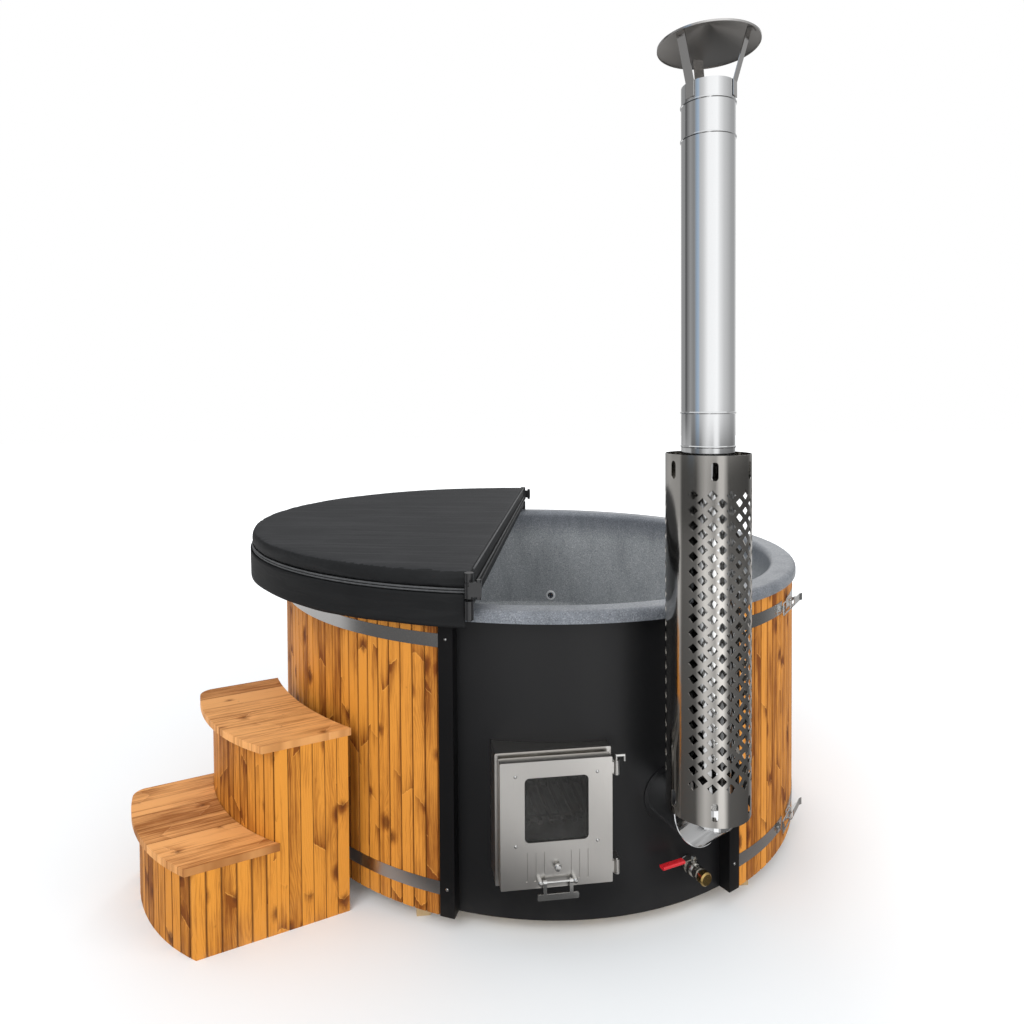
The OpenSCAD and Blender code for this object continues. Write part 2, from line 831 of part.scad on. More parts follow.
// ---------------------------------------------------------------- door
door_t = 2;
door_back_y = collar_y + gasket_w + 1;
door_front_y = door_back_y + door_d;
window_z = door_z + window_h;
slot_z = door_z + 60.5;
slot_xs = [-86, -62, -38, 38, 62, 86];
screw_dx = 116;
screw_zs = [window_z - 97, window_z + 97];
damper_travel = 9;
damper_w = 216;
damper_h = slot_h + 8;
knob_stem_r = 3;
return_w = 22;

// Pressed door: front sheet, folded returns and a rear flange, with window and air slots.
module door_pan() {
    color([0.72, 0.71, 0.69])
    difference() {
        union() {
            difference() {
                plate_y(door_w, door_h, 3, door_x, collar_z, door_back_y, door_front_y);
                plate_y(door_w - 2 * door_t, door_h - 2 * door_t, 2, door_x, collar_z,
                        door_back_y + door_t, door_front_y - door_t);
                plate_y(door_w - 2 * return_w, door_h - 2 * return_w, 6, door_x, collar_z,
                        door_back_y - cut, door_back_y + 2 * door_t);
                plate_y(window_w, window_w, 14, door_x, window_z, door_back_y, door_front_y + cut);
                for (x = slot_xs)
                    plate_y(slot_w, slot_h, slot_w / 2 - 0.01, door_x + x, slot_z, door_back_y, door_front_y + cut);
                plate_y(2 * (damper_travel + knob_stem_r) + 1, 2 * knob_stem_r + 1, knob_stem_r,
                        door_x, slot_z, door_back_y, door_front_y + cut);
            }
            for (z = hinge_zs) {
                box([door_x + door_w / 2 - 0.5, -hinge_y - 3, z - knuckle_h / 2],
                    [hinge_x, -hinge_y + 3, z + knuckle_h / 2]);
                translate([hinge_x, -hinge_y, z - knuckle_h / 2]) cylinder(r = knuckle_r, h = knuckle_h, $fn = 48);
            }
            for (s = [-1, 1])
                damper_rail(s);
        }
        for (z = hinge_zs)
            translate([hinge_x, -hinge_y, z - knuckle_h])
                cylinder(r = hinge_pin_r + run_fit, h = 2 * knuckle_h, $fn = 48);
        for (x = [-screw_dx, screw_dx])
            for (z = screw_zs)
                rod_y(screw_r, door_x + x, door_back_y + 6, door_front_y + cut, z, 32);
    }
}

// Folded rail behind the door sheet that the damper slides in.
module damper_rail(s) {
    edge = slot_z + s * damper_h / 2;
    half = damper_w / 2 + 12;
    sheet_y = -door_front_y + door_t;
    box([door_x - half, sheet_y - 0.5, min(edge + s * 0.5, edge + s * 4.5)],
        [door_x + half, sheet_y + 5, max(edge + s * 0.5, edge + s * 4.5)]);
    box([door_x - half, sheet_y + 3, min(edge - s * 4, edge + s * 4.5)],
        [door_x + half, sheet_y + 5, max(edge - s * 4, edge + s * 4.5)]);
}

screw_r = 2.5;
glass_t = 4;
glass_frame_t = 2;

module door_glass() {
    color([0.2, 0.22, 0.22, 0.5])
        plate_y(window_w + 22, window_w + 22, 4, door_x, window_z,
                door_front_y - door_t - glass_t, door_front_y - door_t);
}

module glass_frame() {
    color("silver")
    difference() {
        plate_y(2 * screw_dx + 18, screw_zs[1] - screw_zs[0] + 18, 4, door_x, window_z,
                door_front_y - door_t - glass_t - glass_frame_t, door_front_y - door_t - glass_t);
        plate_y(window_w - 6, window_w - 6, 10, door_x, window_z, door_back_y, door_front_y);
        for (x = [-screw_dx, screw_dx])
            for (z = screw_zs)
                rod_y(screw_r, door_x + x, door_back_y, door_front_y + cut, z, 32);
    }
}

module door_screws() {
    color("silver")
    for (x = [-screw_dx, screw_dx])
        for (z = screw_zs) {
            rod_y(screw_r - 0.05, door_x + x, door_front_y - door_t - glass_t - glass_frame_t - 4,
                  door_front_y, z, 32);
            translate([door_x + x, -door_front_y, z])
                rotate([90, 0, 0])
                    rotate_extrude($fn = 32)
                        polygon([[0, -0.5], [screw_r - 0.05, -0.5], [screw_r - 0.05, 0], [5, 0], [4.4, 1.6],
                                 [2.4, 2.6], [0, 2.9]]);
            translate([door_x + x, -door_front_y + door_t + glass_t + glass_frame_t, z])
                rotate([-90, 0, 0])
                    cylinder(r = 5, h = 4, $fn = 6);
        }
}

module door_gasket() {
    gasket_in = 8;
    color([0.85, 0.83, 0.78])
    difference() {
        plate_y(door_w - 2 * gasket_in, door_h - 2 * gasket_in, 12, door_x, collar_z,
                collar_y + slip, door_back_y);
        plate_y(door_w - 2 * gasket_in - 2 * gasket_w, door_h - 2 * gasket_in - 2 * gasket_w, 4, door_x,
                collar_z, collar_y - cut, door_back_y + cut);
    }
}

module damper_slide() {
    color("silver")
    difference() {
        union() {
            plate_y(damper_w, damper_h, 2, door_x, slot_z, door_front_y - door_t - 2.3, door_front_y - door_t - slip);
            rod_y(knob_stem_r, door_x, door_front_y - door_t - 1.5, door_front_y + 8, slot_z, 32);
        }
        for (x = slot_xs)
            plate_y(slot_w + 3, slot_h - 6, slot_w / 2, door_x + x + 9, slot_z, door_back_y, door_front_y + cut);
    }
}

module damper_knob() {
    color("silver")
        translate([door_x, -door_front_y - 1, slot_z])
            rotate([90, 0, 0])
                rotate_extrude($fn = 32)
                    polygon([[knob_stem_r, 0], [5, 0], [5, 4], [9.5, 6], [10, 12], [8, 15], [0, 15.6],
                             [0, 9], [knob_stem_r, 9]]);
}

handle_z = door_z + 22;
handle_y = door_front_y + 12;
handle_rod_r = 3;
boss_x = handle_w / 2 - 9;
bail_drop = 40;
bail_t = 6;

// Two bosses on the door with the rod that the drop handle swings on.
module handle_mount() {
    color("silver") {
        for (s = [-1, 1]) {
            rod_y(7, door_x + s * boss_x, door_front_y, handle_y + 4, handle_z);
            translate([door_x + s * boss_x, -handle_y - 4, handle_z])
                rotate([90, 0, 0])
                    rotate_extrude($fn = 48)
                        polygon([[0, -0.5], [7, -0.5], [7, 0], [5.5, 2], [0, 3]]);
        }
        translate([door_x, -handle_y, handle_z]) rotate([0, 90, 0])
            cylinder(r = handle_rod_r, h = 2 * boss_x, center = true, $fn = 48);
    }
}

module door_handle() {
    arm_x = boss_x - 7 - slip - 5;
    color([0.85, 0.85, 0.86])
    difference() {
        union() {
            for (s = [-1, 1]) {
                box([door_x + s * arm_x - 5, -handle_y - bail_t / 2, handle_z - bail_drop],
                    [door_x + s * arm_x + 5, -handle_y + bail_t / 2, handle_z]);
                translate([door_x + s * arm_x - 5, -handle_y, handle_z]) rotate([0, 90, 0])
                    cylinder(r = 6, h = 10, $fn = 48);
            }
            plate_y(handle_w, 17, 4, door_x, handle_z - bail_drop, handle_y - bail_t / 2, handle_y + bail_t / 2);
        }
        translate([door_x, -handle_y, handle_z]) rotate([0, 90, 0])
            cylinder(r = handle_rod_r + run_fit, h = handle_w, center = true, $fn = 48);
    }
}

// ---------------------------------------------------------------- flue and chimney
flue_flange_r = 84;
pipe_in_r = pipe_r - pipe_t;
leg_start = furnace_front_y - 10;
mitre_reach = 50;
mitre_tilt = 22.5;
elbow_stub = 165;
elbow_top_z = flue_z + mitre_reach + elbow_stub;
elbow_sides = 72;
seam_h = 1.5;
seam_w = 2;

module flue_flange() {
    color([0.12, 0.12, 0.13])
    difference() {
        intersection() {
            band(panel_r + 0.05, panel_r + 3, 0, 2 * flue_angle, flue_z - 100, flue_z + 100);
            around(flue_angle) rod_y(flue_flange_r, 0, furnace_front_y, clad_r, flue_z, 96);
        }
        around(flue_angle) rod_y(pipe_r + 0.1, 0, furnace_front_y - 20, clad_r + 20, flue_z, 96);
    }
}

// The mitres' places and the runs' directions, outwards and up.
mitres = [[chimney_r - mitre_reach, flue_z], [chimney_r, flue_z + mitre_reach]];
runs = [[1, 0], [sqrt(0.5), sqrt(0.5)], [0, 1]];

// Ring where a tilted plane cuts the elbow at a place on its centre line.
function elbow_ring(r, place, tilt, stretch) =
    [for (k = [0 : elbow_sides - 1])
        let (a = 360 * k / elbow_sides, up = r * sin(a) * stretch)
        [r * cos(a), up * sin(tilt) - place[0], up * cos(tilt) + place[1]]];

// Ring beside mitre n, a little before it or past it along the centre line.
function mitre_ring(r, n, off) =
    elbow_ring(r, mitres[n] + off * runs[off < 0 ? n : n + 1], mitre_tilt * (2 * n + 1), 1 / cos(mitre_tilt));

// Mitred sheet elbow with folded seams: leg, slanting gore and stub.
module flue_elbow() {
    ends = [[leg_start, flue_z], [chimney_r, elbow_top_z]];
    rings = concat(
        [elbow_ring(pipe_r, ends[0], 0, 1)],
        [for (n = [0, 1], step = [[-1, 0], [-1, 1], [1, 1], [1, 0]])
            mitre_ring(pipe_r + step[1] * seam_h, n, step[0] * seam_w / 2)],
        [elbow_ring(pipe_r, ends[1], 90, 1), elbow_ring(pipe_in_r, ends[1], 90, 1)],
        [for (n = [1, 0]) mitre_ring(pipe_in_r, n, 0)],
        [elbow_ring(pipe_in_r, ends[0], 0, 1)]);
    color("silver")
    around(flue_angle)
        polyhedron(
            points = [for (ring = rings) each ring],
            faces = [for (j = [0 : len(rings) - 1], k = [0 : elbow_sides - 1])
                let (m = (j + 1) % len(rings), l = (k + 1) % elbow_sides)
                [j * elbow_sides + k, j * elbow_sides + l, m * elbow_sides + l, m * elbow_sides + k]]);
}

bead_r = 3;
bead_off = 45;
spigot_l = 28;

// Pipe section with ring beads; its narrower spigot goes down into the section below.
module pipe_section(z0, z1, beads) {
    around(flue_angle)
        translate([0, -chimney_r, 0])
            rotate_extrude()
                union() {
                    polygon([[pipe_in_r - 1.3, z0 - spigot_l], [pipe_in_r - 0.1, z0 - spigot_l],
                             [pipe_in_r - 0.1, z0], [pipe_r, z0], [pipe_r, z1], [pipe_in_r, z1],
                             [pipe_in_r, z0 + 4], [pipe_in_r - 1.3, z0]]);
                    for (z = beads)
                        translate([pipe_r - pipe_t / 2, z - bead_r])
                            polygon([[0, 0], [pipe_t / 2, 0], [bead_r, bead_r * 0.6], [bead_r, bead_r * 1.4],
                                     [pipe_t / 2, 2 * bead_r], [0, 2 * bead_r]]);
                }
}

module chimney_lower() {
    color("silver") pipe_section(elbow_top_z, joint_lower_z, [joint_lower_z - bead_off]);
}

module chimney_upper() {
    color("silver")
        pipe_section(joint_lower_z, joint_upper_z, [joint_lower_z + bead_off, joint_upper_z - bead_off]);
}

module chimney_collar() {
    color("silver") pipe_section(joint_upper_z, pipe_top_z, [joint_upper_z + bead_off]);
}

guard_r = guard_d / 2;
seam_angle = -74 - flue_angle;
diamond_step = 25;
diamonds_in_row = 13;
vent_angles = [for (i = [0 : 5]) -16 - flue_angle + 60 * i];
vent_w = 18;
vent_h = 48;
vent_edge = 41;
tab_w = 12;
notch_r = pipe_r + 8;
vent_clear = 19;
rows_each_way = floor((guard_h / 2 - vent_edge - vent_h / 2 - vent_clear) / diamond_pitch);

// Perforated sleeve that keeps hands off the hot pipe.
module chimney_guard() {
    color("silver")
    around(flue_angle)
        translate([0, -chimney_r, guard_z]) {
            difference() {
                cylinder(r = guard_r, h = guard_h, $fn = 96);
                translate([0, 0, -cut]) cylinder(r = guard_r - guard_t, h = guard_h + 2 * cut, $fn = 96);
                for (row = [-rows_each_way : rows_each_way])
                    guard_row(guard_h / 2 + row * diamond_pitch,
                              diamonds_in_row - (row + rows_each_way) % 2);
                for (end = [0, 1])
                    for (a = vent_angles)
                        around(a)
                            plate_y(vent_w, vent_h, vent_w / 2 - 0.01, 0,
                                    end == 0 ? vent_edge : guard_h - vent_edge, guard_r - 8, guard_r + 8);
                guard_notch();
            }
            for (a = vent_angles)
                around(a)
                    guard_tab(guard_h - vent_edge - vent_h / 2 + 1, guard_r - guard_t / 2 - pipe_r - 0.1);
            for (a = vent_angles)
                if (cos(a) > -0.6)
                    around(a) guard_tab(vent_edge - vent_h / 2 + 1, 20);
        }
}

// One row of diamond holes, centred opposite the plain seam strip.
module guard_row(z, count) {
    for (i = [0 : count - 1])
        around(seam_angle + 180 + (i - (count - 1) / 2) * diamond_step)
            translate([0, -guard_r, z])
                rotate([90, 0, 0])
                    cylinder(r = diamond_w * sqrt(2) / 2, h = 16, center = true, $fn = 4);
}

// Round-topped way for the elbow on the side of the tub.
module guard_notch() {
    notch_z = flue_z - guard_z + 12;
    rotate([0, 0, 180]) {
        rod_y(notch_r, 0, guard_r - 60, guard_r + 20, notch_z, 96);
        box([-notch_r, -guard_r - 20, notch_z - 200], [notch_r, -guard_r + 60, notch_z]);
    }
}

// Tongue bent inwards from the lower end of a vent, so that the sleeve stands off the pipe.
module guard_tab(z, reach) {
    box([-tab_w / 2, -guard_r + guard_t / 2, z - 2], [tab_w / 2, -guard_r + guard_t / 2 + reach, z - 0.5]);
}

cap_rim_z = pipe_top_z + cap_lift;
cap_cone_h = 58;
cap_t = 1.2;
strap_w = 27;
strap_t = 2;
strap_r = 106;
strap_angles = [-65 - flue_angle, 45 - flue_angle, 170 - flue_angle];
strap_foot = 42;

function cap_under_z(r) = cap_rim_z + cap_cone_h * (1 - r / cap_r);

// Height at which a strap's whole width clears the cap's underside.
function strap_top_z(r) = cap_under_z(norm([r, strap_w / 2])) - 0.05;

module rain_cap() {
    color("silver")
    around(flue_angle)
        translate([0, -chimney_r, 0])
            rotate_extrude()
                polygon([[0, cap_under_z(0)], [cap_r, cap_rim_z], [cap_r, cap_rim_z - 4],
                         [cap_r + cap_t, cap_rim_z - 4], [cap_r + cap_t, cap_rim_z + cap_t],
                         [0, cap_under_z(0) + cap_t]]);
}

module cap_straps() {
    foot_r = pipe_r + 0.05;
    tip = strap_r + 14;
    color("silver")
    around(flue_angle)
        translate([0, -chimney_r, 0])
            for (a = strap_angles)
                rotate([0, 0, a - 90])
                    rotate([90, 0, 0])
                        linear_extrude(strap_w, center = true)
                            polygon([[foot_r, pipe_top_z - strap_foot],
                                     [foot_r + strap_t, pipe_top_z - strap_foot],
                                     [foot_r + strap_t, pipe_top_z - 2],
                                     [strap_r + strap_t, strap_top_z(strap_r + strap_t) - strap_t],
                                     [tip, strap_top_z(tip) - strap_t], [tip, strap_top_z(tip)],
                                     [strap_r, strap_top_z(strap_r)], [foot_r, pipe_top_z - 2]]);
}

// ---------------------------------------------------------------- drain
drain_r_out = drain_pipe_d / 2;
drain_wall = 3;
drain_r_in = drain_r_out - drain_wall;
drain_joint = 0.05;
valve_start = panel_r + 6;
valve_l = 66;
valve_nut_r = 23;
valve_nut_l = 14;
valve_neck_r = 18;
valve_bulb_r = 22;
valve_end_r = 20;
valve_end_l = 10;
bonnet_r = 9;
grate_flange_r = 36;
grate_plate_t = 3;
grate_hole_r = 4;
grate_hole_off = 9;
thread_r = 16.5;
thread_l = 16;
valve_mid = valve_start + 30;
ball_r = 14;
ball_bore_r = 10;
stem_r = 4;
bonnet_h = 28;
lever_z = valve_z + bonnet_h + 4;

module drain_grate() {
    color("silver")
    around(valve_angle)
        translate([0, -drain_r, liner_floor_z])
            difference() {
                cylinder(r = grate_flange_r, h = grate_plate_t);
                for (a = [0 : 60 : 300])
                    rotate([0, 0, a])
                        translate([grate_hole_off, 0, -cut])
                            cylinder(r = grate_hole_r, h = grate_plate_t + 2 * cut, $fn = 24);
            }
}

// Upright cylinder in the drain's throat, from some way under the valve's centre to over the liner's floor.
module throat_rod(r, below, over = 0) {
    translate([0, -drain_r, valve_z - below])
        cylinder(r = r, h = liner_floor_z - valve_z + below + over);
}

// Cup under the liner's floor and the straight pipe from it to the valve.
module drain_pipe() {
    color("gainsboro")
    around(valve_angle) {
        difference() {
            throat_rod(drain_throat_r, drain_r_out);
            throat_rod(drain_r_in, drain_r_in, cut);
            rod_y(drain_r_in, 0, drain_r, drain_r + 2 * drain_throat_r, valve_z);
        }
        difference() {
            rod_y(drain_r_out, 0, drain_r, valve_start, valve_z);
            throat_rod(drain_throat_r + drain_joint, 2 * drain_r_out);
            rod_y(drain_r_in, 0, drain_r, valve_start + cut, valve_z);
        }
    }
}

module valve_body() {
    color([0.78, 0.78, 0.76])
    around(valve_angle)
        difference() {
            union() {
                rod_y(valve_nut_r, 0, valve_start, valve_start + valve_nut_l, valve_z, 8);
                rod_y(valve_neck_r, 0, valve_start + valve_nut_l - 2, valve_start + valve_l - valve_end_l, valve_z);
                translate([0, -valve_mid, valve_z]) sphere(r = valve_bulb_r, $fn = 48);
                rod_y(valve_end_r, 0, valve_start + valve_l - 16, valve_start + valve_l - 16 + valve_end_l,
                      valve_z, 8);
                rod_y(thread_r, 0, valve_start + valve_l - 8, valve_start + valve_l + thread_l, valve_z);
                translate([0, -valve_mid, valve_z]) cylinder(r = bonnet_r, h = bonnet_h);
            }
            translate([0, -valve_mid, valve_z]) sphere(r = ball_r + slip, $fn = 48);
            rod_y(ball_bore_r, 0, valve_start - cut, valve_start + valve_l + thread_l + cut, valve_z);
            translate([0, -valve_mid, valve_z]) cylinder(r = stem_r + run_fit, h = bonnet_h + cut, $fn = 48);
        }
}

module valve_ball() {
    color("silver")
    around(valve_angle)
        translate([0, -valve_mid, valve_z])
            difference() {
                union() {
                    sphere(r = ball_r, $fn = 48);
                    cylinder(r = stem_r, h = bonnet_h + 12, $fn = 48);
                }
                rotate([0, 90, 0]) cylinder(r = ball_bore_r - 2, h = 3 * ball_r, center = true, $fn = 48);
            }
}

lever_l = 112;
lever_bar_w = 14;
lever_bar_t = 3;
sleeve_l = 77;

module valve_lever() {
    color("silver")
    around(valve_angle)
        translate([0, -valve_mid, lever_z]) {
            difference() {
                union() {
                    box([-lever_l, -lever_bar_w / 2, 0], [4, lever_bar_w / 2, lever_bar_t]);
                    cylinder(r = 11, h = lever_bar_t);
                }
                translate([0, 0, -cut]) cylinder(r = stem_r, h = 3 * cut + lever_bar_t, $fn = 48);
            }
            translate([0, 0, lever_bar_t])
                difference() {
                    cylinder(r = 7.5, h = 5, $fn = 6);
                    translate([0, 0, -cut]) cylinder(r = stem_r, h = 5 + 2 * cut, $fn = 48);
                }
        }
}

module lever_sleeve() {
    color([0.8, 0.12, 0.14])
    around(valve_angle)
        translate([-lever_l - 3, -valve_mid, lever_z + lever_bar_t / 2])
            rotate([0, 90, 0])
                difference() {
                    linear_extrude(sleeve_l)
                        round_rect(10, 21, 4.5);
                    translate([0, 0, 3])
                        linear_extrude(sleeve_l)
                            square([lever_bar_t + 0.1, lever_bar_w + 0.1], center = true);
                }
}

drain_cap_r = 20;
drain_cap_l = 20;

module drain_cap() {
    face = valve_start + valve_l + 2.5;
    color([0.8, 0.65, 0.3])
    around(valve_angle)
        translate([0, -face, valve_z])
            rotate([90, 0, 0])
                rotate_extrude()
                    polygon([[thread_r + run_fit, 0], [drain_cap_r - 1, 0], [drain_cap_r, 1],
                             [drain_cap_r, drain_cap_l - 4], [drain_cap_r - 4, drain_cap_l], [0, drain_cap_l + 1],
                             [0, thread_l - 2], [thread_r + run_fit, thread_l - 2]]);
}

// ---------------------------------------------------------------- wall fitting

// Turns its children, drawn along +Z, to stand on the liner's wall.
module fitting_place() {
    around(fitting_angle)
        translate([0, -wall_r(fitting_z), fitting_z])
            rotate([wall_draft - 90, 0, 0])
                children();
}

module wall_fitting() {
    color("white")
    fitting_place()
        difference() {
            rotate_extrude()
                polygon([[0, -40], [fitting_bore_r, -40], [fitting_bore_r, 0.5], [26, 0.5], [25.5, 3],
                         [22, 5.5], [17, 6], [15.5, 2], [0, 2]]);
            translate([0, 0, -41]) cylinder(r = fitting_bore_r - 3, h = 50);
        }
}

module wall_grille() {
    color([0.25, 0.27, 0.3])
    fitting_place()
        translate([0, 0, 2.05])
            difference() {
                cylinder(r = 14.5, h = 2.4);
                for (a = [45 : 90 : 315])
                    rotate([0, 0, a]) translate([7.5, 0, -cut]) cylinder(r = 2.6, h = 8, $fn = 24);
            }
}

// ---------------------------------------------------------------- cover
cover_centre = [-97, 26];
fold_z = rim_top_z + slip + pad_t + slip;
fold_back = 5;
welt_r = 4;
pad_crown = 3;
pad_round = 14;
skirt_t = 4;
skirt_top_gap = 8;

// Turns its children, drawn with the fold along Y, to the cover's place.
module cover_place() {
    translate([cover_centre[0], cover_centre[1], 0])
        rotate([0, 0, cover_turn])
            children();
}

// Half-round insulated pad on the -X side, crowned on its upper face unless turned over.
module pad(z0, turned) {
    h = pad_t;
    profile = concat([[0, 0], [cover_r - pad_round, 0]],
                     arc_points([cover_r - pad_round, pad_round], pad_round, -90, 0),
                     arc_points([cover_r - pad_round, h - pad_crown - pad_round], pad_round, 0, 90),
                     [[cover_r * 0.5, h - 1], [0, h]]);
    translate([0, 0, turned ? z0 + h : z0])
        mirror([0, 0, turned ? 1 : 0])
            difference() {
                rotate([0, 0, 90])
                    rotate_extrude(angle = 180, $fn = hoop_fn)
                        polygon(profile);
                box([-fold_back, -cover_r - cut, -cut], [cut, cover_r + cut, h + cut]);
            }
}

module cover_lower() {
    color([0.15, 0.15, 0.16]) cover_place() pad(rim_top_z + slip, false);
}

module cover_upper() {
    color([0.28, 0.28, 0.29]) cover_place() pad(fold_z + slip, true);
}

module fold_welt() {
    color([0.12, 0.12, 0.12])
    cover_place() {
        half = cover_r - 20;
        translate([0, 0, fold_z])
            rotate([90, 0, 0])
                cylinder(r = welt_r, h = 2 * half, center = true, $fn = 48);
        box([-fold_back, -half, fold_z - welt_r + 0.3], [0, half, fold_z - slip - 0.1]);
    }
}

module cover_skirt() {
    color([0.15, 0.15, 0.16])
    cover_place()
        rotate([0, 0, 91.5])
            translate([0, 0, rim_top_z - skirt_h])
                rotate_extrude(angle = 177, $fn = hoop_fn)
                    translate([cover_r + 0.05, 0])
                        square([skirt_t, skirt_h + pad_t - skirt_top_gap]);
}

barrel_r = 13;
barrel_x = -14;
barrel_y = cover_r + barrel_r + 2;
lower_barrel_low = 74;
lower_barrel_l = 52;
barrel_nut_h = 4;
side_bolt_r = 7;
side_bolt_l = 56;

// Corner fitting on the upper pad: two stacked barrels, a side block and its bolt.
module upper_bracket(s) {
    for (span = [[fold_z - 14, fold_z + 29], [fold_z + 31, fold_z + pad_t - 2]])
        translate([barrel_x, s * barrel_y, span[0]])
            cylinder(r = barrel_r, h = span[1] - span[0], $fn = 48);
    translate([barrel_x, s * barrel_y, fold_z + 28])
        cylinder(r = barrel_r - 2, h = 4, $fn = 48);
    box([barrel_x - 8, s > 0 ? cover_r - 8 : -barrel_y, fold_z + 18],
        [barrel_x + 4, s > 0 ? barrel_y : -cover_r + 8, fold_z + 26]);
    block_y = barrel_y + barrel_r + 8;
    box([barrel_x, s > 0 ? barrel_y : -block_y - 6, fold_z + 2],
        [barrel_x + 12, s > 0 ? block_y + 6 : -barrel_y, fold_z + 24]);
    box([barrel_x + 4, s > 0 ? block_y - 6 : -block_y - 8, fold_z - 4],
        [barrel_x + 38, s > 0 ? block_y + 8 : -block_y + 6, fold_z + 36]);
    translate([barrel_x + 30, s * (block_y + 1), fold_z - 12])
        cylinder(r = side_bolt_r, h = side_bolt_l, $fn = 6);
}

module fold_brackets_upper() {
    color([0.08, 0.08, 0.08]) cover_place() {
        upper_bracket(1);
        upper_bracket(-1);
    }
}

module fold_brackets_lower() {
    color([0.08, 0.08, 0.08]) cover_place()
    for (s = [-1, 1]) {
        translate([barrel_x, s * barrel_y, fold_z - lower_barrel_low])
            cylinder(r = barrel_r, h = lower_barrel_l, $fn = 48);
        translate([barrel_x, s * barrel_y, fold_z - lower_barrel_low - barrel_nut_h])
            cylinder(r = barrel_r - 4, h = barrel_nut_h + 1, $fn = 6);
        box([barrel_x - 8, s > 0 ? cover_r - 12 : -barrel_y, fold_z - 46],
            [barrel_x + 4, s > 0 ? barrel_y : -cover_r + 12, fold_z - 38]);
    }
}

// ---------------------------------------------------------------- stair
stair_x0 = -40;
stair_x1 = stair_x0 + stair_w;
stair_in_r = clad_r + 50;
tread_arc_r = 680;
tread_arc_x = 90;
tread_arc_ys = [145 - clad_r, 358 - clad_r];
riser_insets = [22, 40];
tread_tops = [step_1_z, step_2_z];
tread_boards = 6;
tread_gap = 1.2;
tread_corner_r = 45;
stair_board_w = 39;
stair_board_gap = 1.2;
riser_angle_step = 3.5;

// Turns its children to the stair's place: -Y away from the tub, +X towards the front.
module stair_place() {
    rotate([0, 0, stair_turn]) children();
}

function arc_y(cy, r, x) = cy - sqrt(r * r - (x - tread_arc_x) * (x - tread_arc_x));

// Plan of a step, from the tub's side out to an arc, with one rounded corner.
module step_plan(i) {
    difference() {
        intersection() {
            translate([stair_x0, -2 * clad_r])
                square([stair_w, 2 * clad_r]);
            translate([tread_arc_x, tread_arc_ys[i]])
                circle(r = tread_arc_r, $fn = hoop_fn);
        }
        circle(r = stair_in_r, $fn = hoop_fn);
        translate([-clad_r, -stair_in_r * 0.8]) square([2 * clad_r, 2 * clad_r]);
        tread_corner_cut(tread_arc_ys[i]);
    }
}

// What the rounded corner takes off a step's plan.
module tread_corner_cut(arc_cy) {
    corner_x = stair_x0 + tread_corner_r;
    corner_y = arc_y(arc_cy, tread_arc_r - tread_corner_r, corner_x);
    touch_x = tread_arc_x + (corner_x - tread_arc_x) * tread_arc_r / (tread_arc_r - tread_corner_r);
    difference() {
        translate([stair_x0 - cut, corner_y - 2 * tread_corner_r])
            square([touch_x - stair_x0 + cut, 2 * tread_corner_r]);
        translate([corner_x, corner_y]) circle(r = tread_corner_r, $fn = 96);
    }
}

// One tread, of boards laid away from the tub.
module step_tread(i) {
    w = stair_w / tread_boards;
    for (b = [0 : tread_boards - 1])
        translate([0, 0, tread_tops[i] - tread_t])
            linear_extrude(tread_t)
                intersection() {
                    difference() {
                        step_plan(i);
                        if (i == 0)
                            translate([tread_arc_x, tread_arc_ys[1]])
                                circle(r = riser_r(1) + 1.5, $fn = hoop_fn);
                    }
                    translate([stair_x0 + b * w + tread_gap / 2, -2 * clad_r])
                        square([w - tread_gap, 2 * clad_r]);
                }
}

function riser_r(i) = tread_arc_r - riser_insets[i];

// Upright boards along the round front of a step.
module step_riser(i) {
    r = riser_r(i);
    a0 = asin((stair_x0 + stair_board_t + 1 - tread_arc_x) / r);
    a1 = asin((stair_x1 - stair_board_t - 1 - tread_arc_x) / r);
    n = round((a1 - a0) / riser_angle_step);
    step = (a1 - a0) / n;
    half = (r - stair_board_t) * tan(step / 2) - stair_board_gap / 2;
    for (k = [0 : n - 1])
        translate([tread_arc_x, tread_arc_ys[i], 0])
            around(a0 + (k + 0.5) * step)
                box([-half, -r, 0], [half, -r + stair_board_t, tread_tops[i] - tread_t]);
}

// A row of upright side boards from y0 to y1.
module side_row(x, y0, y1, top) {
    n = round((y1 - y0) / stair_board_w);
    pitch = (y1 - y0) / n;
    for (k = [0 : n - 1])
        box([x, y0 + k * pitch + stair_board_gap / 2, 0],
            [x + stair_board_t, y0 + (k + 1) * pitch - stair_board_gap / 2, top]);
}

// Round column that a step's riser follows, grown by a gap.
module riser_drum(i, gap) {
    translate([tread_arc_x, tread_arc_ys[i], -cut])
        cylinder(r = riser_r(i) + gap, h = tread_tops[i] + 2 * cut, $fn = hoop_fn);
}

// Side of the stair: two rows of boards that meet at the upper riser's face.
module stair_side(x) {
    edges = [x, x + stair_board_t];
    fronts = [for (i = [0, 1]) [for (e = edges) arc_y(tread_arc_ys[i], riser_r(i), e)]];
    inner = min([for (e = edges) -sqrt(pow(stair_in_r, 2) - pow(e, 2))]) - 1;
    intersection() {
        side_row(x, min(fronts[1]), inner, tread_tops[1] - tread_t);
        riser_drum(1, 0);
    }
    difference() {
        intersection() {
            side_row(x, min(fronts[0]), max(fronts[1]), tread_tops[0] - tread_t);
            riser_drum(0, 0);
        }
        riser_drum(1, stair_board_gap);
    }
}

module stair_sides() {
    color("peru")
    stair_place() {
        stair_side(stair_x0);
        stair_side(stair_x1 - stair_board_t);
    }
}

module stair_risers() {
    color("peru")
    stair_place() {
        step_riser(0);
        step_riser(1);
    }
}

module stair_treads() {
    color("sienna")
    stair_place() {
        step_tread(0);
        step_tread(1);
    }
}

batten = 40;

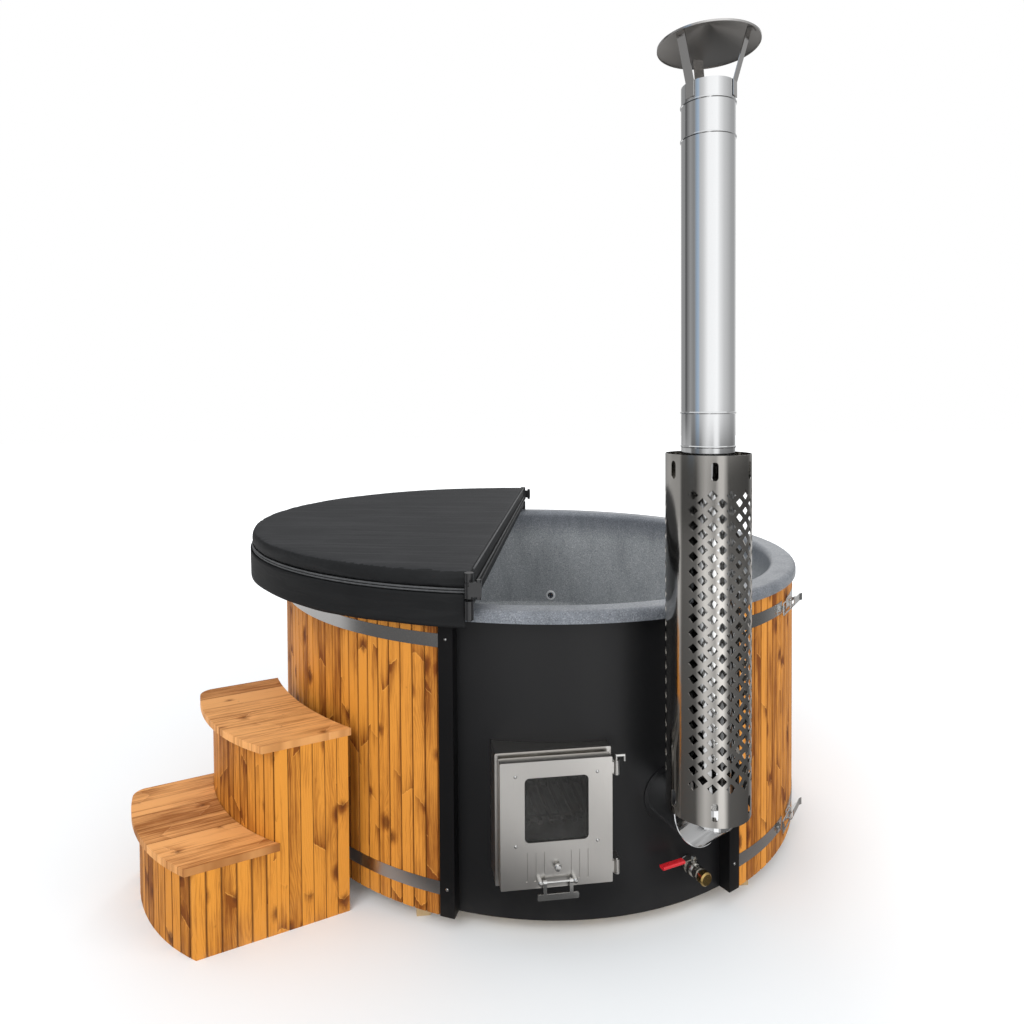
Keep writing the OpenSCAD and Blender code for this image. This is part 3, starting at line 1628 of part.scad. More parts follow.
// A top batten on two posts, from y0 to y1.
module batten_frame(x, y0, y1, top) {
    box([x, y0, top - batten], [x + batten, y1, top]);
    for (y = [y0, y1 - batten])
        box([x, y, 0], [x + batten, y + batten, top]);
}

// Battens inside the stair that carry the treads and hold the boards.
module stair_frame() {
    color("burlywood")
    stair_place()
        for (x = [stair_x0 + stair_board_t, stair_x1 - stair_board_t - batten]) {
            ends = [x, x + batten];
            far = [for (i = [0, 1])
                max([for (e = ends) arc_y(tread_arc_ys[i], riser_r(i) - stair_board_t - 1, e)])];
            behind = min([for (e = ends) arc_y(tread_arc_ys[1], riser_r(1) + 2, e)]);
            near = min([for (e = ends) -sqrt(pow(stair_in_r, 2) - pow(e, 2))]) - 4;
            batten_frame(x, far[0], behind, tread_tops[0] - tread_t);
            batten_frame(x, far[1], near, tread_tops[1] - tread_t);
        }
}

ground_bearers();
deck_planks();
nailing_rings();
frame_posts();
liner_joists();
liner();
cladding_left();
cladding_right();
front_panel();
panel_trims();
trim_rivets();
hoops();
latch_plates();
latch_lugs();
latch_lever_upper();
latch_lever_lower();
latch_bail_upper();
latch_bail_lower();
furnace_body();
fire_grate();
furnace_runners();
circulation_pipes();
door_collar();
hinge_pin();
door_pan();
door_glass();
door_gasket();
glass_frame();
door_screws();
damper_slide();
damper_knob();
handle_mount();
door_handle();
flue_flange();
flue_elbow();
chimney_lower();
chimney_upper();
chimney_collar();
chimney_guard();
rain_cap();
cap_straps();
drain_grate();
drain_pipe();
valve_body();
valve_ball();
valve_lever();
lever_sleeve();
drain_cap();
wall_fitting();
wall_grille();
cover_lower();
cover_upper();
fold_welt();
cover_skirt();
fold_brackets_upper();
fold_brackets_lower();
stair_frame();
stair_sides();
stair_risers();
stair_treads();
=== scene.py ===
"""Looks of a round wood-fired hot tub with its stove, chimney, folding cover and step stair."""

import logging
import math
from dataclasses import dataclass, field
from enum import Enum
from typing import Callable, Sequence

import bpy
from mathutils import Matrix, Vector


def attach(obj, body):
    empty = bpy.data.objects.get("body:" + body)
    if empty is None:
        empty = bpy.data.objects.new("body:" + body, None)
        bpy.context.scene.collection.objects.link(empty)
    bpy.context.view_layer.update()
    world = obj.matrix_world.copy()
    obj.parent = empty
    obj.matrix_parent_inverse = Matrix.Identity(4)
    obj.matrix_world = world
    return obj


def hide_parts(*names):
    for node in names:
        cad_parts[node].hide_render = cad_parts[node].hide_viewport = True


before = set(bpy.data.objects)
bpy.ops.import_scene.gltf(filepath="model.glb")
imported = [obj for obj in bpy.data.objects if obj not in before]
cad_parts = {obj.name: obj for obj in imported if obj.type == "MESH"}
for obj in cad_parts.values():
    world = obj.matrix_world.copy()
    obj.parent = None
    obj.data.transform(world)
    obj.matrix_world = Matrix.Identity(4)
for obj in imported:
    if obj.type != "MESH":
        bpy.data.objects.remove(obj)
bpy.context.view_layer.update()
LOG = logging.getLogger("hot_tub")

Colour = tuple[float, float, float]


# ------------------------------------------------------------------ shader tools
def reckon(operation: str, swapped: bool = False) -> Callable[["Signal", "Value"], "Signal"]:
    """Makes the method of an operator between two values of a shader.

    Args:
        operation: The Math node's operation.
        swapped: Whether the signal stands on the right of the operator.

    Returns:
        The method, which adds a Math node.
    """
    def method(self: "Signal", other: "Value") -> "Signal":
        """Returns the result of the operation."""
        return self.graph.math(operation, *((other, self) if swapped else (self, other)))
    return method


class Signal:
    """A node's output, which formulas can be written with."""

    __add__, __radd__ = reckon("ADD"), reckon("ADD", swapped=True)
    __sub__, __rsub__ = reckon("SUBTRACT"), reckon("SUBTRACT", swapped=True)
    __mul__, __rmul__ = reckon("MULTIPLY"), reckon("MULTIPLY", swapped=True)
    __pow__, __rpow__ = reckon("POWER"), reckon("POWER", swapped=True)
    __truediv__ = reckon("DIVIDE")

    def __init__(self, graph: "Graph", socket: bpy.types.NodeSocket) -> None:
        """Keeps the output and the graph that the next nodes go into."""
        self.graph, self.socket = graph, socket

    def __abs__(self) -> "Signal":
        """Returns the value without its sign."""
        return self.graph.math("ABSOLUTE", self)


Value = float | Sequence[float] | bpy.types.NodeSocket | Signal


class Graph:
    """Adds and links nodes in one shader tree."""

    def __init__(self, tree: bpy.types.NodeTree) -> None:
        """Keeps the tree that the nodes go into.

        Args:
            tree: A material's or a group's node tree.
        """
        self.tree = tree

    def put(self, socket: bpy.types.NodeSocket, value: Value) -> None:
        """Links or sets one input.

        Args:
            socket: The input.
            value: A number, a colour, a vector or another node's output.
        """
        if isinstance(value, (Signal, bpy.types.NodeSocket)):
            self.tree.links.new(getattr(value, "socket", value), socket)
        elif isinstance(value, (int, float)):
            socket.default_value = value
        else:
            wanted = len(socket.default_value)
            socket.default_value = (*value, 1.0)[:wanted] if len(value) < wanted else tuple(value)

    def add(self, kind: str, settings: dict | None = None, **inputs: Value) -> bpy.types.Node:
        """Adds a node.

        Args:
            kind: The node's class name without "ShaderNode".
            settings: Attributes of the node.
            **inputs: Input values by socket name, with _ for a space.

        Returns:
            The new node.
        """
        node = self.tree.nodes.new("ShaderNode" + kind)
        for key, value in (settings or {}).items():
            setattr(node, key, value)
        self.feed(node, **inputs)
        return node

    def feed(self, node: bpy.types.Node, **inputs: Value) -> None:
        """Links or sets a node's inputs by name, with _ for a space."""
        for key, value in inputs.items():
            self.put(node.inputs[key.replace("_", " ")], value)

    def show(self, shader: bpy.types.Node, kind: str = "OutputMaterial") -> None:
        """Sends a shader to a new output node of the tree."""
        self.feed(self.add(kind), Surface=self.out(shader))

    def out(self, node: bpy.types.Node, name: str | int = 0) -> Signal:
        """Returns a node's output by its name or number."""
        return Signal(self, node.outputs[name])

    def math(self, operation: str, *values: Value, clamp: bool = False) -> Signal:
        """Returns the output of a Math node.

        Args:
            operation: The operation's name.
            *values: Its inputs in order.
            clamp: Whether the result is held between 0 and 1.

        Returns:
            The value output.
        """
        node = self.add("Math", {"operation": operation, "use_clamp": clamp})
        for socket, value in zip(node.inputs, values):
            self.put(socket, value)
        return self.out(node)

    def vector(self, operation: str, *values: Value) -> Signal:
        """Returns the output of a Vector Math node.

        Args:
            operation: The operation's name.
            *values: Its inputs in order.

        Returns:
            The vector, or the value of LENGTH.
        """
        node = self.add("VectorMath", {"operation": operation})
        for socket, value in zip(node.inputs, values):
            self.put(socket, value)
        return self.out(node, "Value" if operation == "LENGTH" else "Vector")

    def combine(self, x: Value, y: Value, z: Value = 0.0) -> Signal:
        """Returns a vector made of three values."""
        return self.out(self.add("CombineXYZ", X=x, Y=y, Z=z))

    def split(self, vector: Value) -> list[Signal]:
        """Returns a vector's three parts."""
        return [Signal(self, part) for part in self.add("SeparateXYZ", Vector=vector).outputs]

    def smooth(self, value: Value, low: float, high: float, at_low: float = 0.0,
               at_high: float = 1.0) -> Signal:
        """Returns a smooth step from at_low to at_high as the value goes from low to high."""
        node = self.add("MapRange", {"interpolation_type": "SMOOTHSTEP"}, From_Min=low, From_Max=high,
                        To_Min=at_low, To_Max=at_high)
        self.put(node.inputs[0], value)
        return self.out(node)

    def blend(self, factor: Value, a: Value, b: Value, mode: str = "MIX") -> Signal:
        """Returns colour a blended with colour b."""
        node = self.add("Mix", {"data_type": "RGBA", "blend_type": mode})
        for index, value in ((0, factor), (6, a), (7, b)):
            self.put(node.inputs[index], value)
        return self.out(node, 2)

    def between(self, factor: Value, a: Value, b: Value) -> Signal:
        """Returns value a blended with value b."""
        node = self.add("Mix", {"data_type": "FLOAT"})
        for index, value in ((0, factor), (2, a), (3, b)):
            self.put(node.inputs[index], value)
        return self.out(node)

    def noise(self, vector: Value, scale: float, detail: float = 2.0, roughness: float = 0.5,
              distortion: float = 0.0) -> Signal:
        """Returns the value of a noise texture."""
        return self.out(self.add("TexNoise", Vector=vector, Scale=scale, Detail=detail, Roughness=roughness,
                                 Distortion=distortion))

    def ramp(self, factor: Value, stops: Sequence[tuple[float, Colour]]) -> Signal:
        """Returns a colour read from a ramp.

        Args:
            factor: Where on the ramp.
            stops: Places and colours, in order.

        Returns:
            The colour output.
        """
        node = self.add("ValToRGB", Fac=factor)
        elements = node.color_ramp.elements
        while len(elements) < len(stops):
            elements.new(1.0)
        for element, (place, colour) in zip(elements, stops):
            element.position = place
            element.color = (*colour, 1.0)
        return self.out(node)

    def bump(self, height: Value, distance: float, strength: float = 1.0) -> Signal:
        """Returns the normal that a height gives."""
        return self.out(self.add("Bump", Height=height, Distance=distance, Strength=strength))

    def place(self) -> Signal:
        """Returns the place on the object, in metres."""
        return self.out(self.add("TexCoord"), "Object")


def blank_material(name: str) -> tuple[bpy.types.Material, Graph]:
    """Returns a new material without nodes, and its graph."""
    made = bpy.data.materials.new(name)
    made.use_nodes = True
    made.node_tree.nodes.clear()
    return made, Graph(made.node_tree)


class Effect:
    """A shader node group that several finishes share, built once."""

    title = "effect"
    takes: dict[str, Value] = {}
    gives: dict[str, str] = {}

    @classmethod
    def tree(cls) -> bpy.types.NodeTree:
        """Returns the group's tree, and builds it the first time."""
        found = bpy.data.node_groups.get(cls.title)
        if found:
            return found
        tree = bpy.data.node_groups.new(cls.title, "ShaderNodeTree")
        for name, value in cls.takes.items():
            kind = "NodeSocketFloat" if isinstance(value, (int, float)) else (
                "NodeSocketColor" if len(value) == 4 else "NodeSocketVector")
            socket = tree.interface.new_socket(name=name, in_out="INPUT", socket_type=kind)
            socket.default_value = value
        for name, kind in cls.gives.items():
            tree.interface.new_socket(name=name, in_out="OUTPUT", socket_type="NodeSocket" + kind)
        graph = Graph(tree)
        source = tree.nodes.new("NodeGroupInput")
        target = tree.nodes.new("NodeGroupOutput")
        for name, value in cls.build(graph, {s.name: Signal(graph, s) for s in source.outputs}).items():
            graph.put(target.inputs[name], value)
        return tree

    @classmethod
    def build(cls, g: Graph, takes: dict[str, Signal]) -> dict[str, Value]:
        """Makes the group's nodes and returns its outputs by name."""
        raise NotImplementedError

    @classmethod
    def use(cls, g: Graph, **inputs: Value) -> dict[str, Signal]:
        """Places the group in a material.

        Args:
            g: The material's graph.
            **inputs: Input values by name, with _ for a space.

        Returns:
            The group's outputs by name.
        """
        node = g.tree.nodes.new("ShaderNodeGroup")
        node.node_tree = cls.tree()
        g.feed(node, **inputs)
        return {socket.name: Signal(g, socket) for socket in node.outputs}


class PlankGrain(Effect):
    """Stained pine seen on one board: late-wood lines, eye-shaped knots and a tone of its own."""

    title = "plank grain"
    takes = {"Across": 0.0, "Along": 0.0, "Board": 0.0, "Half Width": 0.023, "Contrast": 1.0, "Knots": 1.0,
             "Edge": 0.55, "Light": (0.6, 0.25, 0.05, 1.0), "Dark": (0.2, 0.06, 0.01, 1.0),
             "Heart": (0.04, 0.01, 0.003, 1.0)}
    gives = {"Color": "Color", "Roughness": "Float", "Height": "Float"}

    # how far the pattern is moved along and across from board to board
    SLIDE, STEP = 37.0, 1.37
    # a knot's share of the board and its greatest radius, in metres
    KNOT_CELL, KNOT_R = (0.062, 0.30), 0.0125
    # how fast a branch mark and the swirl round a knot fade, per metre, and the swirl's strength
    MARK_FADE, SWIRL_FADE, SWIRL = 20.0, 55.0, 130.0
    # late-wood lines in radians per metre, and how far they wander
    RINGS, WOBBLE = 430.0, 15.0
    # wobble, fibre, blotches and streaks: scale across and along, detail and roughness
    DRAWN_OUT = ((20.0, 2.2, 3.0, 0.5), (900.0, 14.0, 2.0, 0.5), (24.0, 4.0, 4.0, 0.6), (110.0, 1.8, 3.0, 0.5))

    @classmethod
    def build(cls, g: Graph, takes: dict[str, Signal]) -> dict[str, Value]:
        """Makes the group's nodes and returns its outputs by name."""
        across, along, board = takes["Across"], takes["Along"], takes["Board"]
        own = g.add("TexWhiteNoise", {"noise_dimensions": "1D"}, W=board)
        moved = along + g.out(own, "Value") * cls.SLIDE
        # knots: one cell about every 0.3 m, its centre brought back to metres
        cell_u, cell_v = cls.KNOT_CELL
        shifted = across + board * cls.STEP
        cells = g.add("TexVoronoi", {"voronoi_dimensions": "2D"}, Scale=1.0,
                      Vector=g.combine(shifted / cell_u, moved / cell_v))
        centre = g.split(g.out(cells, "Position"))
        off_u = shifted - centre[0] * cell_u
        off_v = moved - centre[1] * cell_v
        pick = g.split(g.out(cells, "Color"))
        size = g.smooth(pick[0], 0.3, 1.0, 0.0, cls.KNOT_R) * takes["Knots"]
        warp = g.noise(g.combine(off_u, off_v, board), 120.0, 3.0)
        reach = g.vector("LENGTH", g.combine(off_u, off_v * 0.7)) + (warp - 0.5) * 0.007
        inside = size - reach
        knot = g.smooth(inside, -0.0050, 0.0045)
        # branch marks: a bent edge across the board with a pale lip, and brown wood that fades out behind it
        face = g.math("SIGN", pick[1] - 0.5)
        bent = off_v * face + abs(off_u) * 0.85 + (warp - 0.5) * 0.016
        mark = g.smooth(pick[2], 0.35, 0.75)
        behind = math.e ** (g.math("MAXIMUM", bent, 0.0)
                            * -cls.MARK_FADE) * g.smooth(bent, -0.001, 0.0015) * mark
        lip = g.smooth(bent, -0.0045, -0.001) * g.smooth(bent, -0.0008, 0.0012, 1.0, 0.0)
        rim = g.smooth(inside, -0.016, 0.0) * g.math("GREATER_THAN", size, 0.002)
        swirl = math.e ** (g.vector("LENGTH", g.combine(off_u, off_v * 0.24))
                           * -cls.SWIRL_FADE) * (size * cls.SWIRL)
        # long oval rings whose heart wanders from board to board
        sway = g.noise(g.combine(moved, board), 1.7, 2.0)
        heart = across + (sway - 0.5) * 0.085 + (g.split(g.out(own, "Color"))[1] - 0.5) * 0.05
        wobble, fibre, blotch, streak = (g.noise(g.combine(across * by_u, moved * by_v, board), 1.0, detail,
                                                 rough) for by_u, by_v, detail, rough in cls.DRAWN_OUT)
        rings = abs(heart) * cls.RINGS + wobble * cls.WOBBLE + swirl * cls.WOBBLE
        line = abs(g.math("SINE", rings)) ** 2.2
        dark = line * 0.24 + g.smooth(streak, 0.4, 0.72) * 0.42 + (fibre - 0.5) * 0.3 + (blotch - 0.46) * 2.0
        dark = dark + (g.out(own, "Value") - 0.5) * 0.85 + behind * takes["Knots"] * 0.75
        dark = g.math("ADD", dark * takes["Contrast"], rim * 0.55, clamp=True)
        colour = g.blend(dark, takes["Light"], takes["Dark"])
        colour = g.blend(lip * mark * (takes["Knots"] * 0.45), colour,
                         g.blend(1.0, takes["Light"], (1.25, 1.5, 2.2), "MULTIPLY"))
        colour = g.blend(knot * 0.66, colour, takes["Heart"])
        edge = g.smooth(abs(across) / takes["Half Width"], 0.78, 0.99)
        colour = g.blend(edge * takes["Edge"], colour, takes["Heart"])
        rough = 0.42 + dark * 0.16
        return {"Color": colour, "Roughness": rough, "Height": fibre * 0.45 - line * 0.35 - knot * 0.3}


class DrawnSheet(Effect):
    """Sheet metal drawn or brushed one way: fine lines, slow tone and a slight ripple."""

    title = "drawn sheet"
    takes = {"Place": (0.0, 0.0, 0.0), "Lines": (1.0, 1.0, 1.0), "Roughness": 0.25, "Spread": 0.1,
             "Color": (0.6, 0.6, 0.6, 1.0), "Shade": 0.12}
    gives = {"Color": "Color", "Roughness": "Float", "Height": "Float"}

    @classmethod
    def build(cls, g: Graph, takes: dict[str, Signal]) -> dict[str, Value]:
        """Makes the group's nodes and returns its outputs by name."""
        fine = g.noise(g.vector("MULTIPLY", takes["Place"], takes["Lines"]), 1.0, 3.0, 0.65)
        slow = g.noise(takes["Place"], 4.0, 3.0)
        smear = g.noise(takes["Place"], 21.0, 4.0, 0.6)
        rough = takes["Roughness"] + (fine - 0.5) * takes["Spread"]
        rough = rough + (smear - 0.5) * (takes["Spread"] * 0.8)
        shade = fine * 0.5 + slow * 0.5
        factor = 1.0 - (1.0 - shade) * takes["Shade"]
        colour = g.add("VectorMath", {"operation": "SCALE"}, Vector=takes["Color"], Scale=factor)
        return {"Color": g.out(colour, "Vector"), "Roughness": g.math("MAXIMUM", rough, 0.03), "Height": fine}


class GroundDust(Effect):
    """Pale dust that gathers low down and thins out upwards."""

    title = "ground dust"
    takes = {"Place": (0.0, 0.0, 0.0), "Top": 0.25, "Amount": 0.5}
    gives = {"Mask": "Float"}

    @classmethod
    def build(cls, g: Graph, takes: dict[str, Signal]) -> dict[str, Value]:
        """Makes the group's nodes and returns its outputs by name."""
        level = g.math("SUBTRACT", 1.0, g.split(takes["Place"])[2] / takes["Top"], clamp=True)
        cloud = g.noise(takes["Place"], 9.0, 5.0, 0.65)
        mask = level ** 2.0 * g.smooth(cloud, 0.35, 0.75)
        return {"Mask": g.math("MULTIPLY", mask, takes["Amount"], clamp=True)}


class WovenVinyl(Effect):
    """Coated cloth: a fine square grain with long shallow creases."""

    title = "woven vinyl"
    takes = {"Place": (0.0, 0.0, 0.0), "Creases": (2.0, 30.0, 4.0), "Depth": 1.0}
    gives = {"Grain": "Float", "Crease": "Float", "Height": "Float"}

    @classmethod
    def build(cls, g: Graph, takes: dict[str, Signal]) -> dict[str, Value]:
        """Makes the group's nodes and returns its outputs by name."""
        cells = g.out(g.add("TexVoronoi", {"voronoi_dimensions": "3D"}, Vector=takes["Place"], Scale=700.0),
                      "Distance")
        crease = g.noise(g.vector("MULTIPLY", takes["Place"], takes["Creases"]), 1.0, 4.0, 0.55, 0.4)
        crease = g.smooth(crease, 0.45, 0.68) * takes["Depth"]
        height = cells * 0.12 + crease
        return {"Grain": cells, "Crease": crease, "Height": height}


# ------------------------------------------------------------------ finishes
@dataclass(frozen=True)
class Finish:
    """A named material. A kind of finish says in shade how its shader is fed."""

    name: str

    def shade(self, g: Graph, bsdf: bpy.types.Node) -> None:
        """Feeds the shader.

        Args:
            g: The material's graph.
            bsdf: Its Principled BSDF.
        """
        raise NotImplementedError

    def material(self) -> bpy.types.Material:
        """Returns the material, and makes it the first time."""
        found = bpy.data.materials.get(self.name)
        if found:
            return found
        made, g = blank_material(self.name)
        bsdf = g.add("BsdfPrincipled")
        g.show(bsdf)
        self.shade(g, bsdf)
        return made

    def dress(self, *objects: bpy.types.Object) -> None:
        """Gives the finish to whole objects."""
        for obj in objects:
            obj.data.materials.clear()
            obj.data.materials.append(self.material())


class Layout(Enum):
    """How the boards of a wooden node lie."""

    ROUND_WALL = "round wall"
    STAIR_SIDES = "stair sides"
    STAIR_RISERS = "stair risers"
    TREADS = "treads"
    ALONG_X = "along x"
    ALONG_Y = "along y"
    UPRIGHT = "upright"


@dataclass(frozen=True)
class StairPlan:
    """The stair's plan sizes in metres, as the construction has them."""

    turn: float = math.radians(-70.6)
    x0: float = -0.040
    width: float = 0.522
    inner_r: float = 1.050
    arc_r: float = 0.680
    arc_x: float = 0.090
    arc_ys: tuple[float, float] = (-0.855, -0.642)
    insets: tuple[float, float] = (0.022, 0.040)
    board_t: float = 0.018
    board_w: float = 0.039
    board_gap: float = 0.001
    boards: int = 6
    riser_step: float = math.radians(3.5)
    mean_r: float = 0.65
    mid_z: float = 0.4
    slack: float = 0.002
    # added to the boards' numbers of a row, so that no two rows share their grain
    series: tuple[float, ...] = (19.0, 23.0, 41.0, 57.0, 101.0)

    def riser_r(self, step: int) -> float:
        """Returns the radius of a step's riser."""
        return self.arc_r - self.insets[step]

    def arc_y(self, step: int, x: float) -> float:
        """Returns the riser's place along Y at an x."""
        return self.arc_ys[step] - math.sqrt(self.riser_r(step) ** 2 - (x - self.arc_x) ** 2)

    def riser_row(self, step: int) -> tuple[float, float]:
        """Returns start angle and angle pitch of a riser's boards."""
        edge = self.board_t + self.board_gap
        start, end = (math.asin((x - self.arc_x) / self.riser_r(step))
                      for x in (self.x0 + edge, self.x0 + self.width - edge))
        return start, (end - start) / round((end - start) / self.riser_step)

    def side_rows(self, left: bool) -> list[tuple[float, float]]:
        """Returns start and pitch of the lower and the upper row of side boards."""
        near = self.x0 if left else self.x0 + self.width - self.board_t
        faces = (near, near + self.board_t)
        fronts = [[self.arc_y(step, x) for x in faces] for step in (0, 1)]
        inner = min(-math.sqrt(self.inner_r ** 2 - x ** 2) for x in faces) - self.board_gap
        return [(a, (b - a) / round((b - a) / self.board_w))
                for a, b in ((min(fronts[0]), max(fronts[1])), (min(fronts[1]), inner))]


@dataclass(frozen=True)
class WallPlan:
    """The round wall's sizes in metres and radians, as the construction has them."""

    radius: float = 1.000
    boards: int = 129
    start: float = math.radians(25.3)

    @property
    def pitch(self) -> float:
        """Returns the angle from board to board."""
        return (2 * math.pi - 2 * self.start) / self.boards


@dataclass(frozen=True)
class WoodFinish(Finish):
    """Oiled or raw softwood, board by board."""

    layout: Layout
    light: Colour
    dark: Colour
    heart: Colour
    contrast: float = 1.0
    knots: float = 1.0
    edge: float = 0.55
    edge_on: bool = True
    plank_w: float = 0.21

    def coordinates(self, g: Graph) -> tuple[Value, Value, Value, float]:
        """Finds where a point is on its board.

        Args:
            g: The material's graph.

        Returns:
            Across and along the board in metres, the board's number, and half its width.
        """
        wall, stair = WallPlan(), StairPlan()
        place = g.place()
        if self.layout in (Layout.TREADS, Layout.STAIR_SIDES, Layout.STAIR_RISERS):
            place = g.out(g.add("Mapping", Vector=place, Rotation=(0.0, 0.0, -stair.turn)))
        x, y, z = g.split(place)
        if self.layout is Layout.ROUND_WALL:
            turn = g.math("FLOORED_MODULO", g.math("ARCTAN2", x, y * -1.0), 2 * math.pi)
            count, pitch = (turn - wall.start) / wall.pitch, wall.pitch * wall.radius
            return (g.math("FRACT", count) - 0.5) * pitch, z, g.math("FLOOR", count), pitch / 2
        if self.layout in (Layout.ALONG_X, Layout.ALONG_Y, Layout.UPRIGHT):
            side, along = {Layout.ALONG_X: (y, x), Layout.ALONG_Y: (x, y),
                           Layout.UPRIGHT: (x + y, z)}[self.layout]
            board = g.math("FLOOR", side / self.plank_w)
            return side - (board + 0.5) * self.plank_w, along, board, self.plank_w / 2
        if self.layout is Layout.TREADS:
            pitch = stair.width / stair.boards
            count = (x - stair.x0) / pitch
            board = g.math("FLOOR", count) + g.math("GREATER_THAN", z, stair.mid_z) * stair.series[0]
            return (g.math("FRACT", count) - 0.5) * pitch, y, board, pitch / 2
        if self.layout is Layout.STAIR_SIDES:
            right = g.math("GREATER_THAN", x, stair.x0 + stair.width / 2)
            left_rows, right_rows = stair.side_rows(True), stair.side_rows(False)
            upper = g.math("GREATER_THAN", y, g.between(right, left_rows[1][0], right_rows[1][0]))
            start, pitch = (g.between(upper, *(g.between(right, left_rows[row][k], right_rows[row][k])
                                               for row in (0, 1))) for k in (0, 1))
            count = (y - start) / pitch
            board = g.math("FLOOR", count) + (right * stair.series[1] + upper * stair.series[2])
            return (g.math("FRACT", count) - 0.5) * pitch, z, board, stair.board_w / 2
        dx, dy = x - stair.arc_x, [cy - y for cy in stair.arc_ys]
        upper = g.math("LESS_THAN", g.vector("LENGTH", g.combine(dx, dy[1])), stair.riser_r(1) + stair.slack)
        turn = g.math("ARCTAN2", dx, g.between(upper, *dy))
        starts, pitches = zip(stair.riser_row(0), stair.riser_row(1))
        count = (turn - g.between(upper, *starts)) / g.between(upper, *pitches)
        board = g.math("FLOOR", count) + upper * stair.series[3] + stair.series[4]
        return (g.math("FRACT", count) - 0.5) * (stair.riser_step * stair.mean_r), z, board, stair.board_w / 2

    def shade(self, g: Graph, bsdf: bpy.types.Node) -> None:
        """Feeds the shader with the boards' grain, knots and dark edges."""
        across, along, board, half = self.coordinates(g)
        grain = PlankGrain.use(g, Across=across, Along=along, Board=board,
                               Half_Width=half if self.edge_on else 9.0, Contrast=self.contrast,
                               Knots=self.knots, Edge=self.edge, Light=self.light, Dark=self.dark,
                               Heart=self.heart)
        dust = GroundDust.use(g, Place=g.place(), Top=0.16, Amount=0.12)
        g.feed(bsdf, Base_Color=g.blend(dust["Mask"], grain["Color"], (0.45, 0.38, 0.28)),
               Roughness=grain["Roughness"], Normal=g.bump(grain["Height"], 0.0007, 0.7),
               Specular_IOR_Level=0.14)


class Lines(Enum):
    """Which way fine lines run on a metal sheet, as noise scales per metre."""

    ALONG_X = (6.0, 1400.0, 1400.0)
    ALONG_Z = (1400.0, 1400.0, 5.0)
    ROUND = (40.0, 40.0, 900.0)
    NONE = (60.0, 60.0, 60.0)


@dataclass(frozen=True)
class SteelFinish(Finish):
    """Bare metal sheet, bar or casting."""

    colour: Colour = (0.60, 0.59, 0.57)
    roughness: float = 0.25
    spread: float = 0.12
    shade_depth: float = 0.15
    lines: Lines = Lines.NONE
    ripple: float = 0.0
    grain_depth: float = 0.00002
    # darker colour painted on faces that point down, as painted shade under a brim
    underside: Colour | None = None

    def shade(self, g: Graph, bsdf: bpy.types.Node) -> None:
        """Feeds the shader with drawn lines, smears and ripples, and painted shade on faces that point down
        when an underside colour is given.
        """
        place = g.place()
        sheet = DrawnSheet.use(g, Place=place, Lines=self.lines.value, Roughness=self.roughness,
                               Spread=self.spread, Color=self.colour, Shade=self.shade_depth)
        colour, rough = sheet["Color"], sheet["Roughness"]
        # painted shade: faces that point down turn to the darker underside colour and a rougher finish
        if self.underside:
            down = g.smooth(g.split(g.out(g.add("NewGeometry"), "Normal"))[2], -0.25, -0.6)
            colour = g.blend(down, colour, self.underside)
            rough = g.between(down, rough, 0.45)
        g.feed(bsdf, Base_Color=colour, Roughness=rough, Metallic=1.0)
        height = sheet["Height"] * self.grain_depth
        if self.ripple:
            wave = g.noise(g.vector("MULTIPLY", place, (9.0, 9.0, 0.8)), 1.0, 2.0)
            height = height + wave * self.ripple
        g.feed(bsdf, Normal=g.bump(height, 1.0))


@dataclass(frozen=True)
class PaintFinish(Finish):
    """Paint or moulded plastic with a slight orange peel, scuffs and low dust."""

    colour: Colour
    roughness: float = 0.4
    scuffs: float = 0.5
    dust: float = 0.4
    coat: float = 0.0
    peel: float = 0.00006
    shine: float = 0.5

    def shade(self, g: Graph, bsdf: bpy.types.Node) -> None:
        """Feeds the shader with clouded tone, scuffs and dust."""
        place = g.place()
        cloud = g.noise(place, 5.0, 5.0, 0.6)
        peel = g.noise(place, 320.0, 2.0)
        scuff = g.smooth(g.noise(g.vector("MULTIPLY", place, (14.0, 14.0, 60.0)), 1.0, 5.0, 0.7), 0.60, 0.80)
        lift = tuple(c * 1.45 + 0.001 for c in self.colour)
        colour = g.blend(cloud * 0.5, self.colour, lift)
        colour = g.blend(scuff * (0.14 * self.scuffs), colour,
                         tuple((min(1.0, c * 1.4 + 0.05) for c in self.colour)))
        mask = GroundDust.use(g, Place=place, Top=0.30, Amount=self.dust)["Mask"]
        colour = g.blend(mask, colour, (0.30, 0.27, 0.23))
        g.feed(bsdf, Base_Color=colour)
        rough = self.roughness + (cloud - 0.5) * 0.16
        rough = rough + (scuff + mask) * 0.2
        g.feed(bsdf, Roughness=rough, Normal=g.bump(peel, self.peel), Specular_IOR_Level=self.shine,
               Coat_Weight=self.coat, Coat_Roughness=0.12)


